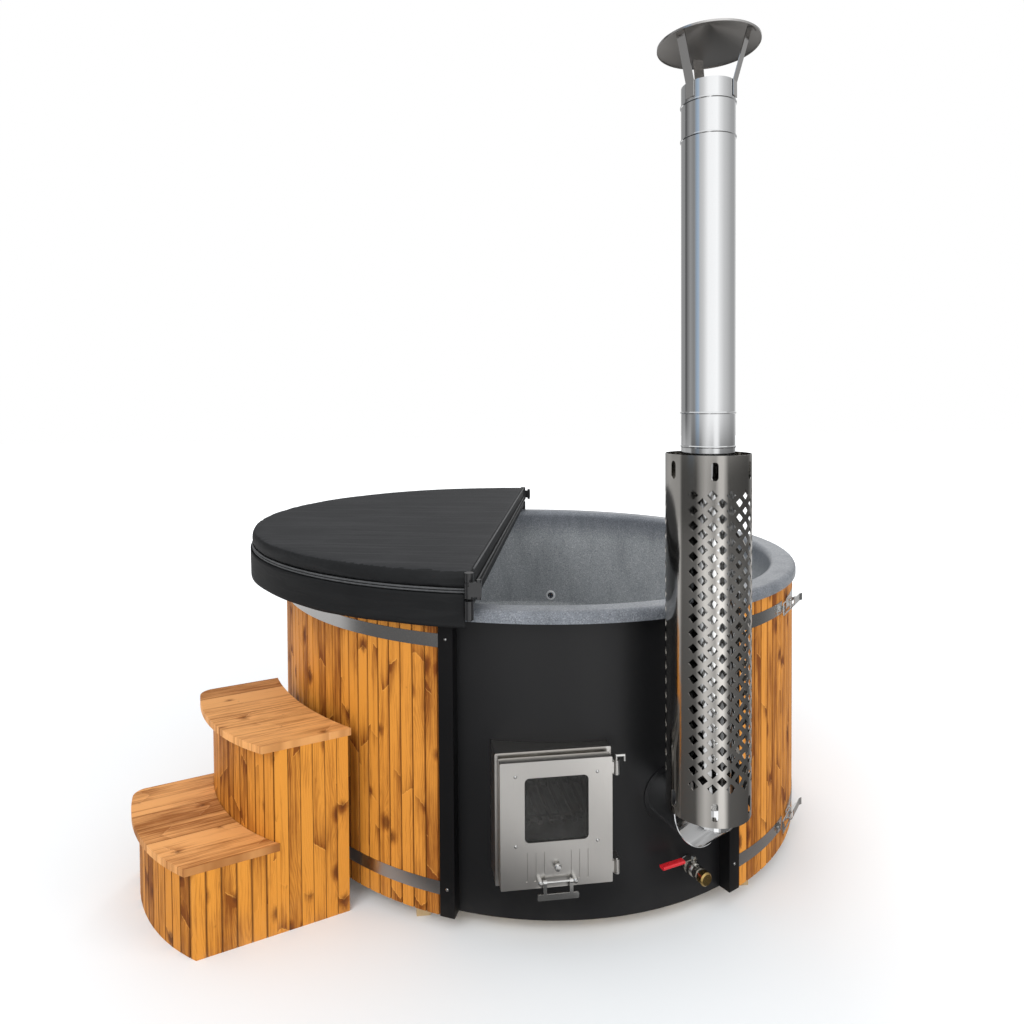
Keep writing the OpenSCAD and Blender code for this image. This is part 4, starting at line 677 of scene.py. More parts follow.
@dataclass(frozen=True)
class GelcoatFinish(Finish):
    """Grey moulded liner with a fine metallic speckle under a clear coat."""

    colour: Colour = (0.162, 0.179, 0.205)
    pale: Colour = (0.32, 0.335, 0.36)
    deep: Colour = (0.065, 0.074, 0.088)
    # a paler copy of the gelcoat for the wall below the rim, which is painted light, and the heights over which
    # it fades in
    well_painted_light: Colour = (0.34, 0.365, 0.39)
    painted_light_heights: tuple[float, float] = (0.925, 0.80)

    def shade(self, g: Graph, bsdf: bpy.types.Node) -> None:
        """Feeds the shader with flakes, clouds, fine drips of tone down the wall and a paler tone below the rim
        as painted light.
        """
        place = g.place()
        flakes = g.add("TexVoronoi", {"voronoi_dimensions": "3D"}, Vector=place, Scale=330.0)
        flake = g.split(g.out(flakes, "Color"))[0]
        fine = g.noise(place, 260.0, 3.0, 0.7)
        cloud = g.noise(g.vector("MULTIPLY", place, (1.0, 1.0, 0.35)), 11.0, 5.0, 0.62)
        colour = g.blend(g.smooth(flake, 0.72, 0.98, 0.0, 0.75), self.colour, self.pale)
        colour = g.blend(g.smooth(flake, 0.28, 0.02, 0.0, 0.7), colour, self.deep)
        colour = g.blend(g.smooth(fine, 0.35, 0.7) * 0.35, colour, self.pale)
        colour = g.blend(g.smooth(cloud, 0.4, 0.75) * 0.32, colour, self.deep)
        # painted light: below the rim the gelcoat turns to its paler copy
        inside = g.smooth(g.split(place)[2], self.painted_light_heights[1], self.painted_light_heights[0], 1.0, 0.0)
        paler = g.blend(1.0, colour, tuple(w / c for w, c in zip(self.well_painted_light, self.colour)), "MULTIPLY")
        colour = g.blend(inside, colour, paler)
        g.feed(bsdf, Base_Color=colour, Roughness=0.3 + cloud * 0.14, Normal=g.bump(fine, 0.0001),
               Metallic=0.15, Coat_Weight=0.25, Coat_Roughness=0.14)


@dataclass(frozen=True)
class VinylFinish(Finish):
    """Dark coated cloth of the cover."""

    colour: Colour = (0.060, 0.062, 0.066)
    lift: Colour = (0.098, 0.101, 0.106)
    roughness: float = 0.50
    creases: tuple[float, float, float] = (2.2, 42.0, 8.0)
    depth: float = 0.0012
    turn: float = 0.0

    def shade(self, g: Graph, bsdf: bpy.types.Node) -> None:
        """Feeds the shader with the cloth's grain, creases and rubbed tone."""
        place = g.out(g.add("Mapping", Vector=g.place(), Rotation=(0.0, 0.0, self.turn)))
        cloth = WovenVinyl.use(g, Place=place, Creases=self.creases, Depth=1.0)
        cloud = g.noise(place, 6.0, 5.0, 0.6)
        colour = g.blend(cloth["Crease"] * 0.55, self.colour, self.lift)
        colour = g.blend(g.smooth(cloud, 0.35, 0.75) * 0.4, colour, self.lift)
        colour = g.blend(cloth["Grain"] * 0.25, colour, (0.02, 0.02, 0.022))
        g.feed(bsdf, Base_Color=colour, Roughness=self.roughness + cloud * 0.12,
               Normal=g.bump(cloth["Height"], self.depth, 0.6), Specular_IOR_Level=0.20)


@dataclass(frozen=True)
class GlassFinish(Finish):
    """Smoky stove glass with a film of soot."""

    colour: Colour = (0.75, 0.74, 0.70)

    def shade(self, g: Graph, bsdf: bpy.types.Node) -> None:
        """Feeds the shader with a soot film."""
        place = g.place()
        soot = g.smooth(g.noise(place, 14.0, 5.0, 0.65), 0.35, 0.75)
        g.feed(bsdf, Base_Color=g.blend(soot, self.colour, (0.50, 0.47, 0.42)), Roughness=soot * 0.09,
               Transmission_Weight=1.0, IOR=1.47)


@dataclass(frozen=True)
class RopeFinish(Finish):
    """Braided glass-fibre gasket."""

    colour: Colour = (0.60, 0.57, 0.50)

    def shade(self, g: Graph, bsdf: bpy.types.Node) -> None:
        """Feeds the shader with braid and soot."""
        place = g.place()
        braid = g.out(g.add("TexVoronoi", Vector=place, Scale=420.0), "Distance")
        soot = g.noise(place, 18.0, 4.0)
        g.feed(bsdf, Base_Color=g.blend(g.smooth(soot, 0.4, 0.7), self.colour, (0.20, 0.18, 0.16)),
               Roughness=0.8 + soot * 0.15, Normal=g.bump(braid, 0.0008))


HONEY_HEART: Colour = (0.105, 0.028, 0.006)
RAW_PINE = dict(light=(0.62, 0.46, 0.26), dark=(0.42, 0.27, 0.12), heart=(0.20, 0.10, 0.04), contrast=0.7,
                knots=0.8, edge_on=False)


class Finishes:
    """Every finish of the tub, by what it is on."""

    CLADDING = WoodFinish("honey cladding boards", Layout.ROUND_WALL, (0.67, 0.268, 0.039),
                          (0.20, 0.055, 0.007), HONEY_HEART, edge=0.65)
    RISERS = WoodFinish("honey riser boards", Layout.STAIR_RISERS, (0.66, 0.260, 0.038), (0.20, 0.056, 0.007),
                        HONEY_HEART, edge=0.65)
    SIDES = WoodFinish("honey side boards", Layout.STAIR_SIDES, (0.71, 0.288, 0.041), (0.23, 0.066, 0.008),
                       HONEY_HEART, edge=0.60)
    TREADS = WoodFinish("brown tread boards", Layout.TREADS, (0.80, 0.39, 0.135), (0.32, 0.115, 0.027),
                        (0.10, 0.035, 0.009), 1.15, 0.35, 0.14)
    DECK = WoodFinish("raw deck planks", Layout.ALONG_X, **RAW_PINE)
    BEARERS = WoodFinish("raw bearers", Layout.ALONG_Y, **RAW_PINE)
    POSTS = WoodFinish("raw posts", Layout.UPRIGHT, **RAW_PINE)
    LINER = GelcoatFinish("speckled liner gelcoat")
    PANEL = PaintFinish("satin black panel", (0.0075, 0.0075, 0.0083), 0.38, 0.25, 0.03, peel=0.0001,
                        shine=0.36)
    TRIM = PaintFinish("satin black trim", (0.0045, 0.0045, 0.0050), 0.40, 0.25, 0.05, shine=0.22)
    HOOPS = SteelFinish("hoop stainless", (0.62, 0.61, 0.60), 0.20, 0.12, 0.22, Lines.ROUND)
    DOOR = SteelFinish("brushed door sheet", (0.74, 0.72, 0.69), 0.30, 0.10, 0.16, Lines.ALONG_Z)
    POLISHED = SteelFinish("polished fittings", (0.72, 0.72, 0.71), 0.12, 0.10, 0.08)
    CHIMNEY = SteelFinish("rolled chimney stainless", (0.88, 0.89, 0.90), 0.085, 0.04, 0.05, Lines.ALONG_Z,
                          0.0002)
    GUARD = SteelFinish("mirror guard stainless", (0.56, 0.54, 0.51), 0.11, 0.06, 0.08, Lines.ALONG_Z, 0.0007)
    # the cap's darker underside colour is painted shade
    CAP = SteelFinish("spun cap stainless", (0.66, 0.65, 0.64), 0.12, 0.06, 0.10, Lines.ROUND,
                      underside=(0.34, 0.325, 0.31))
    NICKEL = SteelFinish("nickel valve", (0.62, 0.60, 0.56), 0.22, 0.14, 0.2)
    BRASS = SteelFinish("turned brass", (0.62, 0.43, 0.16), 0.24, 0.14, 0.2, Lines.ROUND)
    IRON = PaintFinish("sooty iron", (0.035, 0.034, 0.033), 0.75, 0.3, 0.1, peel=0.0006)
    JACKET = SteelFinish("welded jacket steel", (0.20, 0.195, 0.19), 0.5, 0.2, 0.35)
    GLASS = GlassFinish("smoky stove glass")
    GASKET = RopeFinish("braided gasket")
    SLEEVE = PaintFinish("red dipped vinyl", (0.52, 0.014, 0.022), 0.28, 0.2, 0.0, 0.3)
    WHITE = PaintFinish("white fitting", (0.72, 0.73, 0.74), 0.25, 0.2, 0.0, 0.3)
    GREY = PaintFinish("dark fitting grille", (0.045, 0.05, 0.06), 0.35, 0.2, 0.0)
    PIPE = PaintFinish("grey drain pipe", (0.45, 0.46, 0.47), 0.45, 0.3, 0.2)
    VINYL_TOP = VinylFinish("cover vinyl top", (0.026, 0.027, 0.029), (0.047, 0.048, 0.051), 0.62,
                            turn=math.radians(14.9))
    VINYL_SIDE = VinylFinish("cover vinyl side", (0.010, 0.0105, 0.011), (0.019, 0.020, 0.021), 0.55,
                             (5.0, 5.0, 60.0), 0.0011)
    VINYL_SKIRT = VinylFinish("cover vinyl skirt", (0.0075, 0.008, 0.0085), (0.014, 0.0145, 0.015), 0.55,
                              (5.0, 5.0, 40.0), 0.0012)
    WELT = VinylFinish("cover welt", (0.075, 0.077, 0.080), (0.13, 0.132, 0.135), 0.45, (60.0, 60.0, 60.0),
                       0.0004)
    ROLL = VinylFinish("fold roll vinyl", (0.014, 0.0145, 0.015), (0.030, 0.031, 0.032), 0.45,
                       (60.0, 60.0, 60.0), 0.0006)
    BRACKET = PaintFinish("black corner fitting", (0.012, 0.012, 0.013), 0.30, 0.5, 0.0, 0.4)


CAD_FINISH: dict[Finish, tuple[str, ...]] = {
    Finishes.CLADDING: ("cladding_left", "cladding_right"),
    Finishes.RISERS: ("stair_risers",),
    Finishes.SIDES: ("stair_sides",),
    Finishes.TREADS: ("stair_treads",),
    Finishes.DECK: ("deck_planks", "liner_joists"),
    Finishes.BEARERS: ("ground_bearers", "stair_frame"),
    Finishes.POSTS: ("frame_posts", "nailing_rings"),
    Finishes.LINER: ("liner",),
    Finishes.PANEL: ("front_panel", "flue_flange"),
    Finishes.TRIM: ("panel_trims",),
    Finishes.HOOPS: ("hoops",),
    Finishes.DOOR: ("door_pan", "door_collar", "glass_frame", "damper_slide"),
    Finishes.POLISHED: ("trim_rivets", "latch_plates", "latch_lugs", "latch_lever_upper", "latch_lever_lower",
                        "latch_bail_upper", "latch_bail_lower", "hinge_pin", "door_screws", "damper_knob",
                        "handle_mount", "door_handle", "drain_grate", "valve_ball", "circulation_pipes"),
    Finishes.CHIMNEY: ("chimney_lower", "chimney_upper", "chimney_collar", "flue_elbow"),
    Finishes.GUARD: ("chimney_guard",),
    Finishes.CAP: ("rain_cap", "cap_straps"),
    Finishes.NICKEL: ("valve_body", "valve_lever"),
    Finishes.BRASS: ("drain_cap",),
    Finishes.IRON: ("fire_grate", "furnace_runners"),
    Finishes.JACKET: ("furnace_body",),
    Finishes.GLASS: ("door_glass",),
    Finishes.SLEEVE: ("lever_sleeve",),
    Finishes.WHITE: ("wall_fitting",),
    Finishes.GREY: ("wall_grille",),
    Finishes.PIPE: ("drain_pipe",),
    Finishes.BRACKET: ("fold_brackets_upper", "fold_brackets_lower"),
}


# ------------------------------------------------------------------ modelling tools
def deselect() -> None:
    """Leaves nothing selected and no edit mode open."""
    if bpy.context.mode != "OBJECT":
        bpy.ops.object.mode_set(mode="OBJECT")
    bpy.ops.object.select_all(action="DESELECT")


def take(name: str) -> bpy.types.Object:
    """Names the object that an operator has just added.

    Args:
        name: The piece's name.

    Returns:
        The active object.
    """
    obj = bpy.context.view_layer.objects.active
    obj.name = name
    obj.data.name = name
    return obj


def activate(obj: bpy.types.Object) -> None:
    """Makes one object the only selected and active one."""
    deselect()
    obj.select_set(True)
    bpy.context.view_layer.objects.active = obj


def settle(obj: bpy.types.Object) -> None:
    """Puts an object's place and turn into its mesh."""
    activate(obj)
    bpy.ops.object.transform_apply(location=True, rotation=True, scale=True)


def apply_all(obj: bpy.types.Object) -> None:
    """Applies every modifier of an object."""
    activate(obj)
    for modifier in list(obj.modifiers):
        bpy.ops.object.modifier_apply(modifier=modifier.name)


def recalculate(obj: bpy.types.Object) -> None:
    """Merges doubles and points the faces outwards."""
    activate(obj)
    bpy.ops.object.mode_set(mode="EDIT")
    bpy.ops.mesh.select_all(action="SELECT")
    bpy.ops.mesh.remove_doubles(threshold=0.00005)
    bpy.ops.mesh.normals_make_consistent(inside=False)
    bpy.ops.object.mode_set(mode="OBJECT")


def tube(name: str, points: Sequence[Vector], radius: float, closed: bool = False,
         sides: int = 8) -> bpy.types.Object:
    """Makes a round tube along points.

    Args:
        name: The piece's name.
        points: The tube's centre line.
        radius: Its radius.
        closed: Whether it runs back to its start.
        sides: Points round its section.

    Returns:
        The tube as a mesh.
    """
    deselect()
    curve = bpy.data.curves.new(name, "CURVE")
    curve.dimensions = "3D"
    curve.bevel_depth = radius
    curve.bevel_resolution = max(0, sides // 2 - 2)
    curve.use_fill_caps = not closed
    spline = curve.splines.new("POLY")
    spline.points.add(len(points) - 1)
    for target, point in zip(spline.points, points):
        target.co = (*point, 1.0)
    spline.use_cyclic_u = closed
    obj = bpy.data.objects.new(name, curve)
    bpy.context.scene.collection.objects.link(obj)
    activate(obj)
    bpy.ops.object.convert(target="MESH")
    obj = take(name)
    recalculate(obj)
    for polygon in obj.data.polygons:
        polygon.use_smooth = True
    return obj


# ------------------------------------------------------------------ the cover
@dataclass
class FoldingCover:
    """Two half-round foam pads in vinyl, folded on each other, with piping and a hanging skirt."""

    radius: float = 1.035
    thickness: float = 0.059
    rim_top: float = 0.959
    slip: float = 0.0003
    fold_back: float = 0.005
    centre: tuple[float, float] = (-0.097, 0.026)
    turn: float = math.radians(-14.9)
    piping: float = 0.0032
    skirt_depth: float = 0.045
    skirt_top_gap: float = 0.008
    puff: float = 0.0035

    @property
    def skirt_radius(self) -> float:
        """Returns the radius of the skirt's middle."""
        return self.radius + 0.0022

    @property
    def skirt_low(self) -> float:
        """Returns the height of the skirt's hem."""
        return self.rim_top - self.skirt_depth + 0.0015

    @property
    def skirt_height(self) -> float:
        """Returns how far the skirt hangs down."""
        return self.skirt_depth + self.thickness - self.skirt_top_gap - 0.0015

    def place(self) -> Matrix:
        """Returns the transform from the cover's own axes, with the fold along Y, to its place."""
        return Matrix.Translation((*self.centre, 0.0)) @ Matrix.Rotation(self.turn, 4, "Z")

    def outline(self, radius: float, z: float, inset: float = 0.0, count: int = 96) -> list[Vector]:
        """Returns the half-round outline at a height, from the front end of the fold round to the back end.

        Args:
            radius: The half-round's radius.
            z: Its height.
            inset: How far it stays back from the fold's straight side.
            count: Points on the arc.

        Returns:
            Points in the cover's own axes.
        """
        x = -self.fold_back - inset
        reach = math.acos(min(1.0, -x / radius))
        return [Vector((radius * math.cos(a), radius * math.sin(a), z))
                for a in (math.pi + reach - 2 * reach * i / count for i in range(count + 1))]

    def pad(self, name: str, low: float, flat_side_down: bool) -> bpy.types.Object:
        """Makes one foam pad in its shell.

        Args:
            name: The piece's name.
            low: Height of its underside.
            flat_side_down: Whether the side that lies on the rim is underneath at rest.

        Returns:
            The pad.
        """
        thick = self.thickness - 0.002
        deselect()
        bpy.ops.mesh.primitive_cylinder_add(vertices=160, radius=self.radius - 0.004, depth=thick,
                                            location=(0.0, 0.0, low + self.thickness / 2))
        obj = take(name)
        settle(obj)
        bpy.ops.object.mode_set(mode="EDIT")
        bpy.ops.mesh.select_all(action="SELECT")
        bpy.ops.mesh.bisect(plane_co=(-self.fold_back - 0.001, 0.0, 0.0), plane_no=(1.0, 0.0, 0.0),
                            clear_outer=True, use_fill=True)
        bpy.ops.object.mode_set(mode="OBJECT")
        bevel = obj.modifiers.new("edge", "BEVEL")
        bevel.width, bevel.segments, bevel.limit_method, bevel.angle_limit = 0.010, 3, "ANGLE", math.radians(50)
        remesh = obj.modifiers.new("cloth grid", "REMESH")
        remesh.mode, remesh.voxel_size, remesh.adaptivity = "VOXEL", 0.0125, 0.0
        apply_all(obj)
        self.crown(obj, low, flat_side_down)
        self.inflate(obj)
        smooth = obj.modifiers.new("finer", "SUBSURF")
        smooth.levels = smooth.render_levels = 1
        apply_all(obj)
        for vertex in obj.data.vertices:
            z = vertex.co.z
            vertex.co.z = max(z, low) if flat_side_down else min(z, low + self.thickness)
        for polygon in obj.data.polygons:
            polygon.use_smooth = True
        obj.data.transform(self.place())
        return obj

    def crown(self, obj: bpy.types.Object, low: float, up: bool) -> None:
        """Draws the pad's broad faces down towards its edge and dimples them where the shell is sewn.

        Args:
            obj: The pad.
            low: Height of its underside.
            up: Whether the crowned side is on top.
        """
        middle = low + self.thickness / 2
        for vertex in obj.data.vertices:
            x, y, z = vertex.co
            r = math.hypot(x, y)
            edge = max(0.0, (r / self.radius - 0.55) / 0.45) ** 2
            side = 1.0 if z > middle else -1.0
            share = min(1.0, abs(z - middle) / (self.thickness * 0.5))
            drop = 0.0026 * edge * share if (side > 0) == up else 0.0006 * edge * share
            angle = math.atan2(y, -x)
            pull = 0.0009 * math.sin(17.0 * angle + 3.0 * math.sin(3.0 * angle)) * edge * share
            vertex.co.z = z - side * (drop + max(0.0, pull))
            waist = 1.0 - (abs(z - middle) / (self.thickness * 0.5)) ** 2
            if r > 0.9 * self.radius:
                bulge = 0.0022 * waist + 0.0010 * math.sin(23.0 * angle) * waist
                vertex.co.x += bulge * x / r
                vertex.co.y += bulge * y / r

    def inflate(self, obj: bpy.types.Object) -> None:
        """Lets the shell swell as cloth under a little pressure, and caps how far it goes.

        Args:
            obj: The pad before its last subdivision.
        """
        rest = [vertex.co.copy() for vertex in obj.data.vertices]
        activate(obj)
        cloth = obj.modifiers.new("shell", "CLOTH")
        cloth.settings.quality = 4
        cloth.settings.mass = 0.4
        cloth.settings.tension_stiffness = cloth.settings.compression_stiffness = 25.0
        cloth.settings.bending_stiffness = 3.0
        cloth.settings.use_pressure = True
        cloth.settings.uniform_pressure_force = 2.5
        cloth.settings.effector_weights.gravity = 0.0
        cloth.point_cache.frame_start, cloth.point_cache.frame_end = 1, 12
        scene = bpy.context.scene
        for step in range(1, 13):
            scene.frame_set(step)
        bpy.ops.object.modifier_apply(modifier=cloth.name)
        scene.frame_set(1)
        for vertex, start in zip(obj.data.vertices, rest):
            move = vertex.co - start
            if move.length > 0.0:
                vertex.co = start + move.normalized() * self.puff * math.tanh(move.length / self.puff) * 0.6

    def piping_run(self, name: str, z: float, straight_only: bool = False) -> bpy.types.Object:
        """Makes one run of piping along a pad's edge.

        Args:
            name: The piece's name.
            z: Height of its centre line.
            straight_only: Whether it lies only along the fold's straight side.

        Returns:
            The run of piping.
        """
        arc = self.outline(self.radius - self.piping - 0.0015, z, inset=self.piping)
        straight = [arc[-1].lerp(arc[0], i / 60) for i in range(1, 60)]
        path = [self.place() @ point for point in (straight if straight_only else arc + straight)]
        return tube(name, path, self.piping, closed=not straight_only)

    def skirt(self) -> bpy.types.Object:
        """Makes the flap that hangs from the groove over the tub's rim.

        Returns:
            The skirt.
        """
        deselect()
        bpy.ops.mesh.primitive_cylinder_add(vertices=366, radius=self.skirt_radius, depth=self.skirt_height,
                                            location=(0.0, 0.0, self.skirt_low + self.skirt_height / 2),
                                            end_fill_type="NOTHING")
        obj = take("cover_skirt_flap")
        settle(obj)
        bpy.ops.object.mode_set(mode="EDIT")
        bpy.ops.mesh.select_all(action="SELECT")
        bpy.ops.mesh.bisect(plane_co=(-self.skirt_radius * math.sin(math.radians(1.5)), 0.0, 0.0),
                            plane_no=(1.0, 0.0, 0.0), clear_outer=True)
        rows = 10
        for row in range(1, rows):
            bpy.ops.mesh.select_all(action="SELECT")
            bpy.ops.mesh.bisect(plane_co=(0.0, 0.0, self.skirt_low + self.skirt_height * row / rows),
                                plane_no=(0.0, 0.0, 1.0))
        bpy.ops.object.mode_set(mode="OBJECT")
        for vertex in obj.data.vertices:
            x, y, z = vertex.co
            angle = math.atan2(y, -x)
            hang = 1.0 - (z - self.skirt_low) / self.skirt_height
            wave = (0.0010 * math.sin(29.0 * angle + 2.0 * math.sin(5.0 * angle)) * hang ** 1.5
                    - 0.0007 * hang * math.sin(7.0 * angle))
            vertex.co.x += wave * x / self.skirt_radius
            vertex.co.y += wave * y / self.skirt_radius
            vertex.co.z += 0.0012 * math.sin(13.0 * angle) * hang
        recalculate(obj)
        wall = obj.modifiers.new("cloth thickness", "SOLIDIFY")
        wall.thickness, wall.offset = 0.0022, 0.0
        apply_all(obj)
        for polygon in obj.data.polygons:
            polygon.use_smooth = True
        obj.data.transform(self.place())
        return obj

    def fold_roll(self) -> bpy.types.Object:
        """Makes the sewn roll in the fold that both pads hang on."""
        half = self.radius - 0.021
        z = self.rim_top + self.thickness + 2 * self.slip
        path = [self.place() @ Vector((0.0002 * math.sin(9.0 * i), -half + 2 * half * i / 160,
                                       z)) for i in range(161)]
        return tube("cover_fold_roll", path, 0.0039, sides=12)

    def build(self) -> list[bpy.types.Object]:
        """Makes the cover's soft pieces, dresses them and puts them on their bodies."""
        low = {"lower": self.rim_top + self.slip, "upper": self.rim_top + self.thickness + 3 * self.slip}
        seam = self.piping + 0.0006
        groove = {"lower": low["lower"] + self.thickness - seam, "upper": low["upper"] + seam}
        made = []
        for which, body in (("lower", "cover_base"), ("upper", "cover_flap")):
            pad = self.pad(f"cover_pad_{which}", low[which], which == "lower")
            self.dress_pad(pad)
            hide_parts(f"cover_{which}")
            piping = [self.piping_run(f"cover_piping_{which}", groove[which])]
            if which == "upper":
                piping.append(self.piping_run("cover_piping_fold_edge", low[which] + self.thickness - seam,
                                              straight_only=True))
            Finishes.WELT.dress(*piping)
            for piece in (pad, *piping):
                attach(piece, body)
                made.append(piece)
        skirt, roll = self.skirt(), self.fold_roll()
        Finishes.VINYL_SKIRT.dress(skirt)
        Finishes.ROLL.dress(roll)
        for piece, node in ((skirt, "cover_skirt"), (roll, "fold_welt")):
            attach(piece, "cover_base")
            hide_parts(node)
            made.append(piece)
        return made

    def dress_pad(self, pad: bpy.types.Object) -> None:
        """Gives a pad the paler cloth on its broad faces and the darker band round its side."""
        pad.data.materials.clear()
        pad.data.materials.append(Finishes.VINYL_TOP.material())
        pad.data.materials.append(Finishes.VINYL_SIDE.material())
        for polygon in pad.data.polygons:
            polygon.material_index = 0 if abs(polygon.normal.z) > 0.72 else 1


# ------------------------------------------------------------------ the stove door's rope
@dataclass
class DoorGasket:
    """Braided rope round the door's back, in place of the construction's plain ring."""

    node: str = "door_gasket"
    corner: float = 0.014
    strands: int = 3
    lay: float = 0.012

    def path(self, low: Vector, high: Vector, radius: float) -> list[Vector]:
        """Returns the rope's closed centre line, a rectangle with round corners.

        Args:
            low: The ring's lower corner.
            high: Its upper corner.
            radius: The rope's radius.

        Returns:
            Evenly spaced points.
        """
        y = (low.y + high.y) / 2
        reach = radius + self.corner
        points = []
        for x, z, start in ((high.x - reach, high.z - reach, 0), (low.x + reach, high.z - reach, 90),
                            (low.x + reach, low.z + reach, 180), (high.x - reach, low.z + reach, 270)):
            for step in range(9):
                angle = math.radians(start + 90.0 * step / 8)
                points.append(Vector((x + self.corner * math.cos(angle), y, z + self.corner * math.sin(angle))))
        spaced = []
        for a, b in zip(points, points[1:] + points[:1]):
            count = max(1, round((b - a).length / 0.002))
            spaced += [a.lerp(b, i / count) for i in range(count)]
        return spaced

    def build(self) -> bpy.types.Object:
        """Makes the rope, with its strands pressed into its surface."""
        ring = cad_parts[self.node]
        corners = [ring.matrix_world @ Vector(corner) for corner in ring.bound_box]
        low = Vector(min(c[i] for c in corners) for i in range(3))
        high = Vector(max(c[i] for c in corners) for i in range(3))
        radius = (high.y - low.y) / 2 - 0.0002
        path = self.path(low, high, radius)
        rope = tube("door_gasket_rope", path, radius, closed=True, sides=16)
        middle = (low + high) / 2
        for vertex in rope.data.vertices:
            near = min(path, key=lambda point: (point - vertex.co).length_squared)
            out = vertex.co - near
            run = (near.x + near.z) / self.lay
            side = math.atan2(out.y, (near - middle).normalized().dot(out))
            vertex.co = near + out * (0.955 + 0.045 * math.cos(self.strands * side + 2 * math.pi * run))
        Finishes.GASKET.dress(rope)
        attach(rope, "door")
        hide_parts(self.node)
        return rope


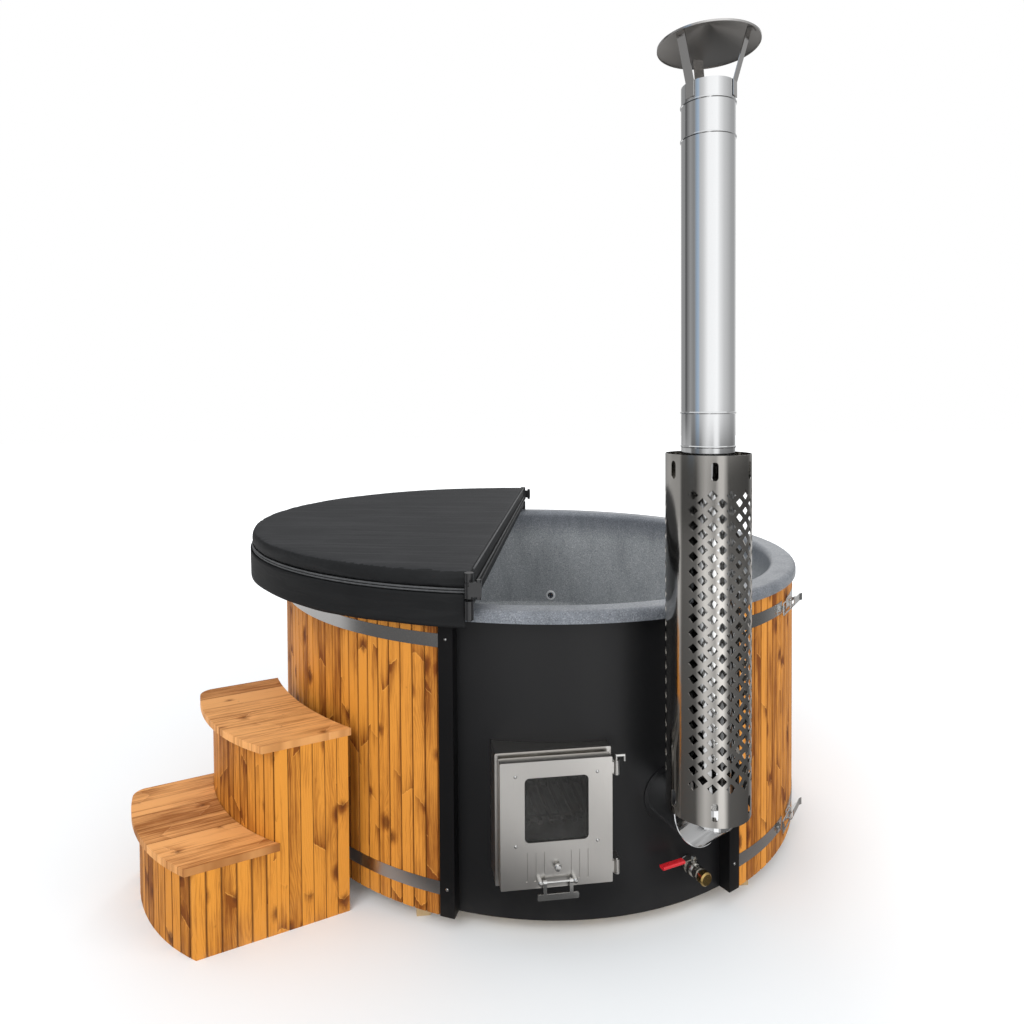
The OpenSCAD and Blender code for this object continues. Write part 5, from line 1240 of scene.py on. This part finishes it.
# ------------------------------------------------------------------ the studio
@dataclass
class Studio:
    """Camera, floor, lamps and the strips that polished metal reflects."""

    camera_at: tuple[float, float, float] = (-0.605, -2.977, 1.541)
    camera_turn: tuple[float, float, float] = (88.562, 0.43, -7.2)
    lens: float = 25.48
    shift: tuple[float, float] = (0.0338, -0.0866)
    world_level: float = 0.93
    floor_half: float = 30.0
    floor_colour: Colour = (0.82, 0.845, 0.865)
    floor_glow: tuple[float, float] = (0.05, 0.60)
    chimney_at: tuple[float, float] = (0.257, -1.115)
    strips_radius: float = 7.5
    strips_height: float = 9.0
    strip_gain: float = 1.10
    cool_from: tuple[float, float] = (-84.0, -74.0)
    cool_to: tuple[float, float] = (-66.0, -58.0)
    # strips of the studio: heading from the chimney in degrees, and brightness
    strip_tones: tuple[tuple[float, float], ...] = ((-180, 0.30), (-140, 0.25), (-133, 0.06), (-125, 0.14),
                                                    (-105, 0.30), (-86, 0.22), (-68, 0.42), (-45, 0.60),
                                                    (-24, 0.92), (14, 0.98), (24, 0.80), (45, 0.58),
                                                    (85, 0.36), (110, 0.34), (155, 0.88), (180, 0.30))
    # the same for the floor, as its own tone in reflections
    floor_tones: tuple[tuple[float, float], ...] = ((-180, 0.35), (-150, 0.55), (-104, 0.45), (-98, 0.10),
                                                    (-55, 0.10), (-46, 0.35), (-30, 0.60), (-5, 0.35),
                                                    (4, 0.85), (16, 0.85), (28, 0.12), (100, 0.08),
                                                    (150, 0.50), (180, 0.35))
    lamps: dict[str, tuple[tuple[float, float, float], float, float]] = field(default_factory=lambda: {
        "key": ((-3.4, -4.6, 4.6), 3.2, 150.0),
        "fill": ((4.6, -3.6, 2.6), 3.0, 100.0),
        "back": ((1.5, 4.5, 4.2), 3.0, 90.0),
    })

    def camera(self) -> None:
        """Sets the camera at the photograph's place and angle."""
        data = bpy.data.cameras.new("view")
        data.lens, data.sensor_width = self.lens, 36.0
        data.shift_x, data.shift_y = self.shift
        camera = bpy.data.objects.new("view", data)
        camera.location = self.camera_at
        camera.rotation_euler = [math.radians(v) for v in self.camera_turn]
        bpy.context.scene.collection.objects.link(camera)
        bpy.context.scene.camera = camera

    def turn_about_chimney(self, g: Graph) -> bpy.types.NodeSocket:
        """Returns the heading of a point from the chimney, from 0 to 1, with 0.5 straight ahead of the tub."""
        x, y, _ = g.split(g.vector("SUBTRACT", g.place(), (*self.chimney_at, 0.0)))
        return g.math("ARCTAN2", x, y * -1.0) / (2 * math.pi) + 0.5

    @staticmethod
    def stops(tones: Sequence[tuple[float, float]], gain: float = 1.0) -> list[tuple[float, Colour]]:
        """Turns headings in degrees and tones into a ramp's stops."""
        return [(0.5 + heading / 360.0, (tone * gain,) * 3) for heading, tone in tones]

    def floor(self) -> None:
        """Makes the pale floor, which keeps the object's shadow and fades to pure white far off."""
        deselect()
        bpy.ops.mesh.primitive_plane_add(size=2 * self.floor_half, location=(0.0, 0.0, 0.0))
        plane = take("studio_floor")
        made, g = blank_material("studio floor")
        path = g.add("LightPath")
        mirrored = g.out(path, "Is Glossy Ray")
        tone = g.ramp(self.turn_about_chimney(g), self.stops(self.floor_tones))
        diffuse = g.add("BsdfDiffuse", Color=g.blend(mirrored, self.floor_colour, tone))
        seen = g.math("MAXIMUM", mirrored, g.math("MAXIMUM", g.out(path, "Is Camera Ray"),
                                                  g.out(path, "Is Transmission Ray")))
        far = g.smooth(g.vector("LENGTH", g.place()), 1.9, 5.5, self.floor_glow[0], self.floor_glow[1])
        glow = g.add("Emission", Color=g.blend(mirrored, (1.0, 1.0, 1.0), tone), Strength=seen * far)
        both = g.add("AddShader")
        for socket, part in zip(both.inputs, (diffuse, glow)):
            g.put(socket, g.out(part))
        g.show(both)
        plane.data.materials.append(made)

    def strips(self) -> None:
        """Makes the round wall of pale and grey strips that only reflections see."""
        deselect()
        bpy.ops.mesh.primitive_cylinder_add(vertices=96, radius=self.strips_radius, depth=self.strips_height,
                                            location=(*self.chimney_at, self.strips_height / 2),
                                            end_fill_type="NOTHING")
        drum = take("studio_strips")
        settle(drum)
        made, g = blank_material("studio strips")
        turn = self.turn_about_chimney(g)
        strips = g.ramp(turn, self.stops(self.strip_tones, self.strip_gain))
        rise, fall = ([0.5 + degrees / 360.0 for degrees in edge] for edge in (self.cool_from, self.cool_to))
        cool = g.smooth(turn, *rise) * g.smooth(turn, *fall, 1.0, 0.0)
        strips = g.blend(cool, strips, g.blend(1.0, strips, (0.80, 1.0, 1.25), "MULTIPLY"))
        colour = g.blend(g.smooth(g.split(g.place())[2], 0.7, 1.5), g.ramp(turn, self.stops(self.floor_tones)),
                         strips)
        g.show(g.add("Emission", Color=colour, Strength=1.0))
        drum.data.materials.append(made)
        drum.visible_camera = drum.visible_diffuse = drum.visible_shadow = False
        drum.visible_transmission = drum.visible_volume_scatter = False

    def world(self) -> None:
        """Lights the scene with an even white surround, pure white to the camera and in reflections."""
        world = bpy.data.worlds.new("studio surround")
        world.use_nodes = True
        world.node_tree.nodes.clear()
        g = Graph(world.node_tree)
        path = g.add("LightPath")
        seen = g.math("MAXIMUM", g.out(path, "Is Camera Ray"),
                      g.math("MAXIMUM", g.out(path, "Is Glossy Ray"), g.out(path, "Is Transmission Ray")))
        back = g.add("Background", Color=(1.0, 1.0, 1.0), Strength=g.between(seen, self.world_level, 1.0))
        g.show(back, "OutputWorld")
        bpy.context.scene.world = world

    def light(self) -> None:
        """Hangs the large soft lamps, all turned to the tub."""
        for name, (place, size, power) in self.lamps.items():
            data = bpy.data.lights.new(name, "AREA")
            data.energy, data.size, data.shape = power, size, "SQUARE"
            lamp = bpy.data.objects.new(name, data)
            lamp.location = place
            lamp.visible_glossy = False
            lamp.rotation_euler = (Vector((0.0, 0.0, 0.6)) - Vector(place)).to_track_quat("-Z", "Y").to_euler()
            bpy.context.scene.collection.objects.link(lamp)

    def build(self) -> None:
        """Sets up everything that isn't the tub."""
        bpy.context.scene.view_settings.view_transform = "Standard"
        self.camera()
        self.floor()
        self.strips()
        self.world()
        self.light()


def dress_nodes() -> None:
    """Gives every node of the construction its finish."""
    for finish, nodes in CAD_FINISH.items():
        for node in nodes:
            finish.dress(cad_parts[node])
            LOG.info("dressed %s with %s", node, finish.name)


def main() -> None:
    """Dresses the construction, builds the soft pieces and sets up the studio."""
    logging.basicConfig(level=logging.INFO, format="%(message)s")
    dress_nodes()
    for piece in (*FoldingCover().build(), DoorGasket().build()):
        LOG.info("built %s, %d faces", piece.name, len(piece.data.polygons))
    Studio().build()


if __name__ == "__main__":
    main()
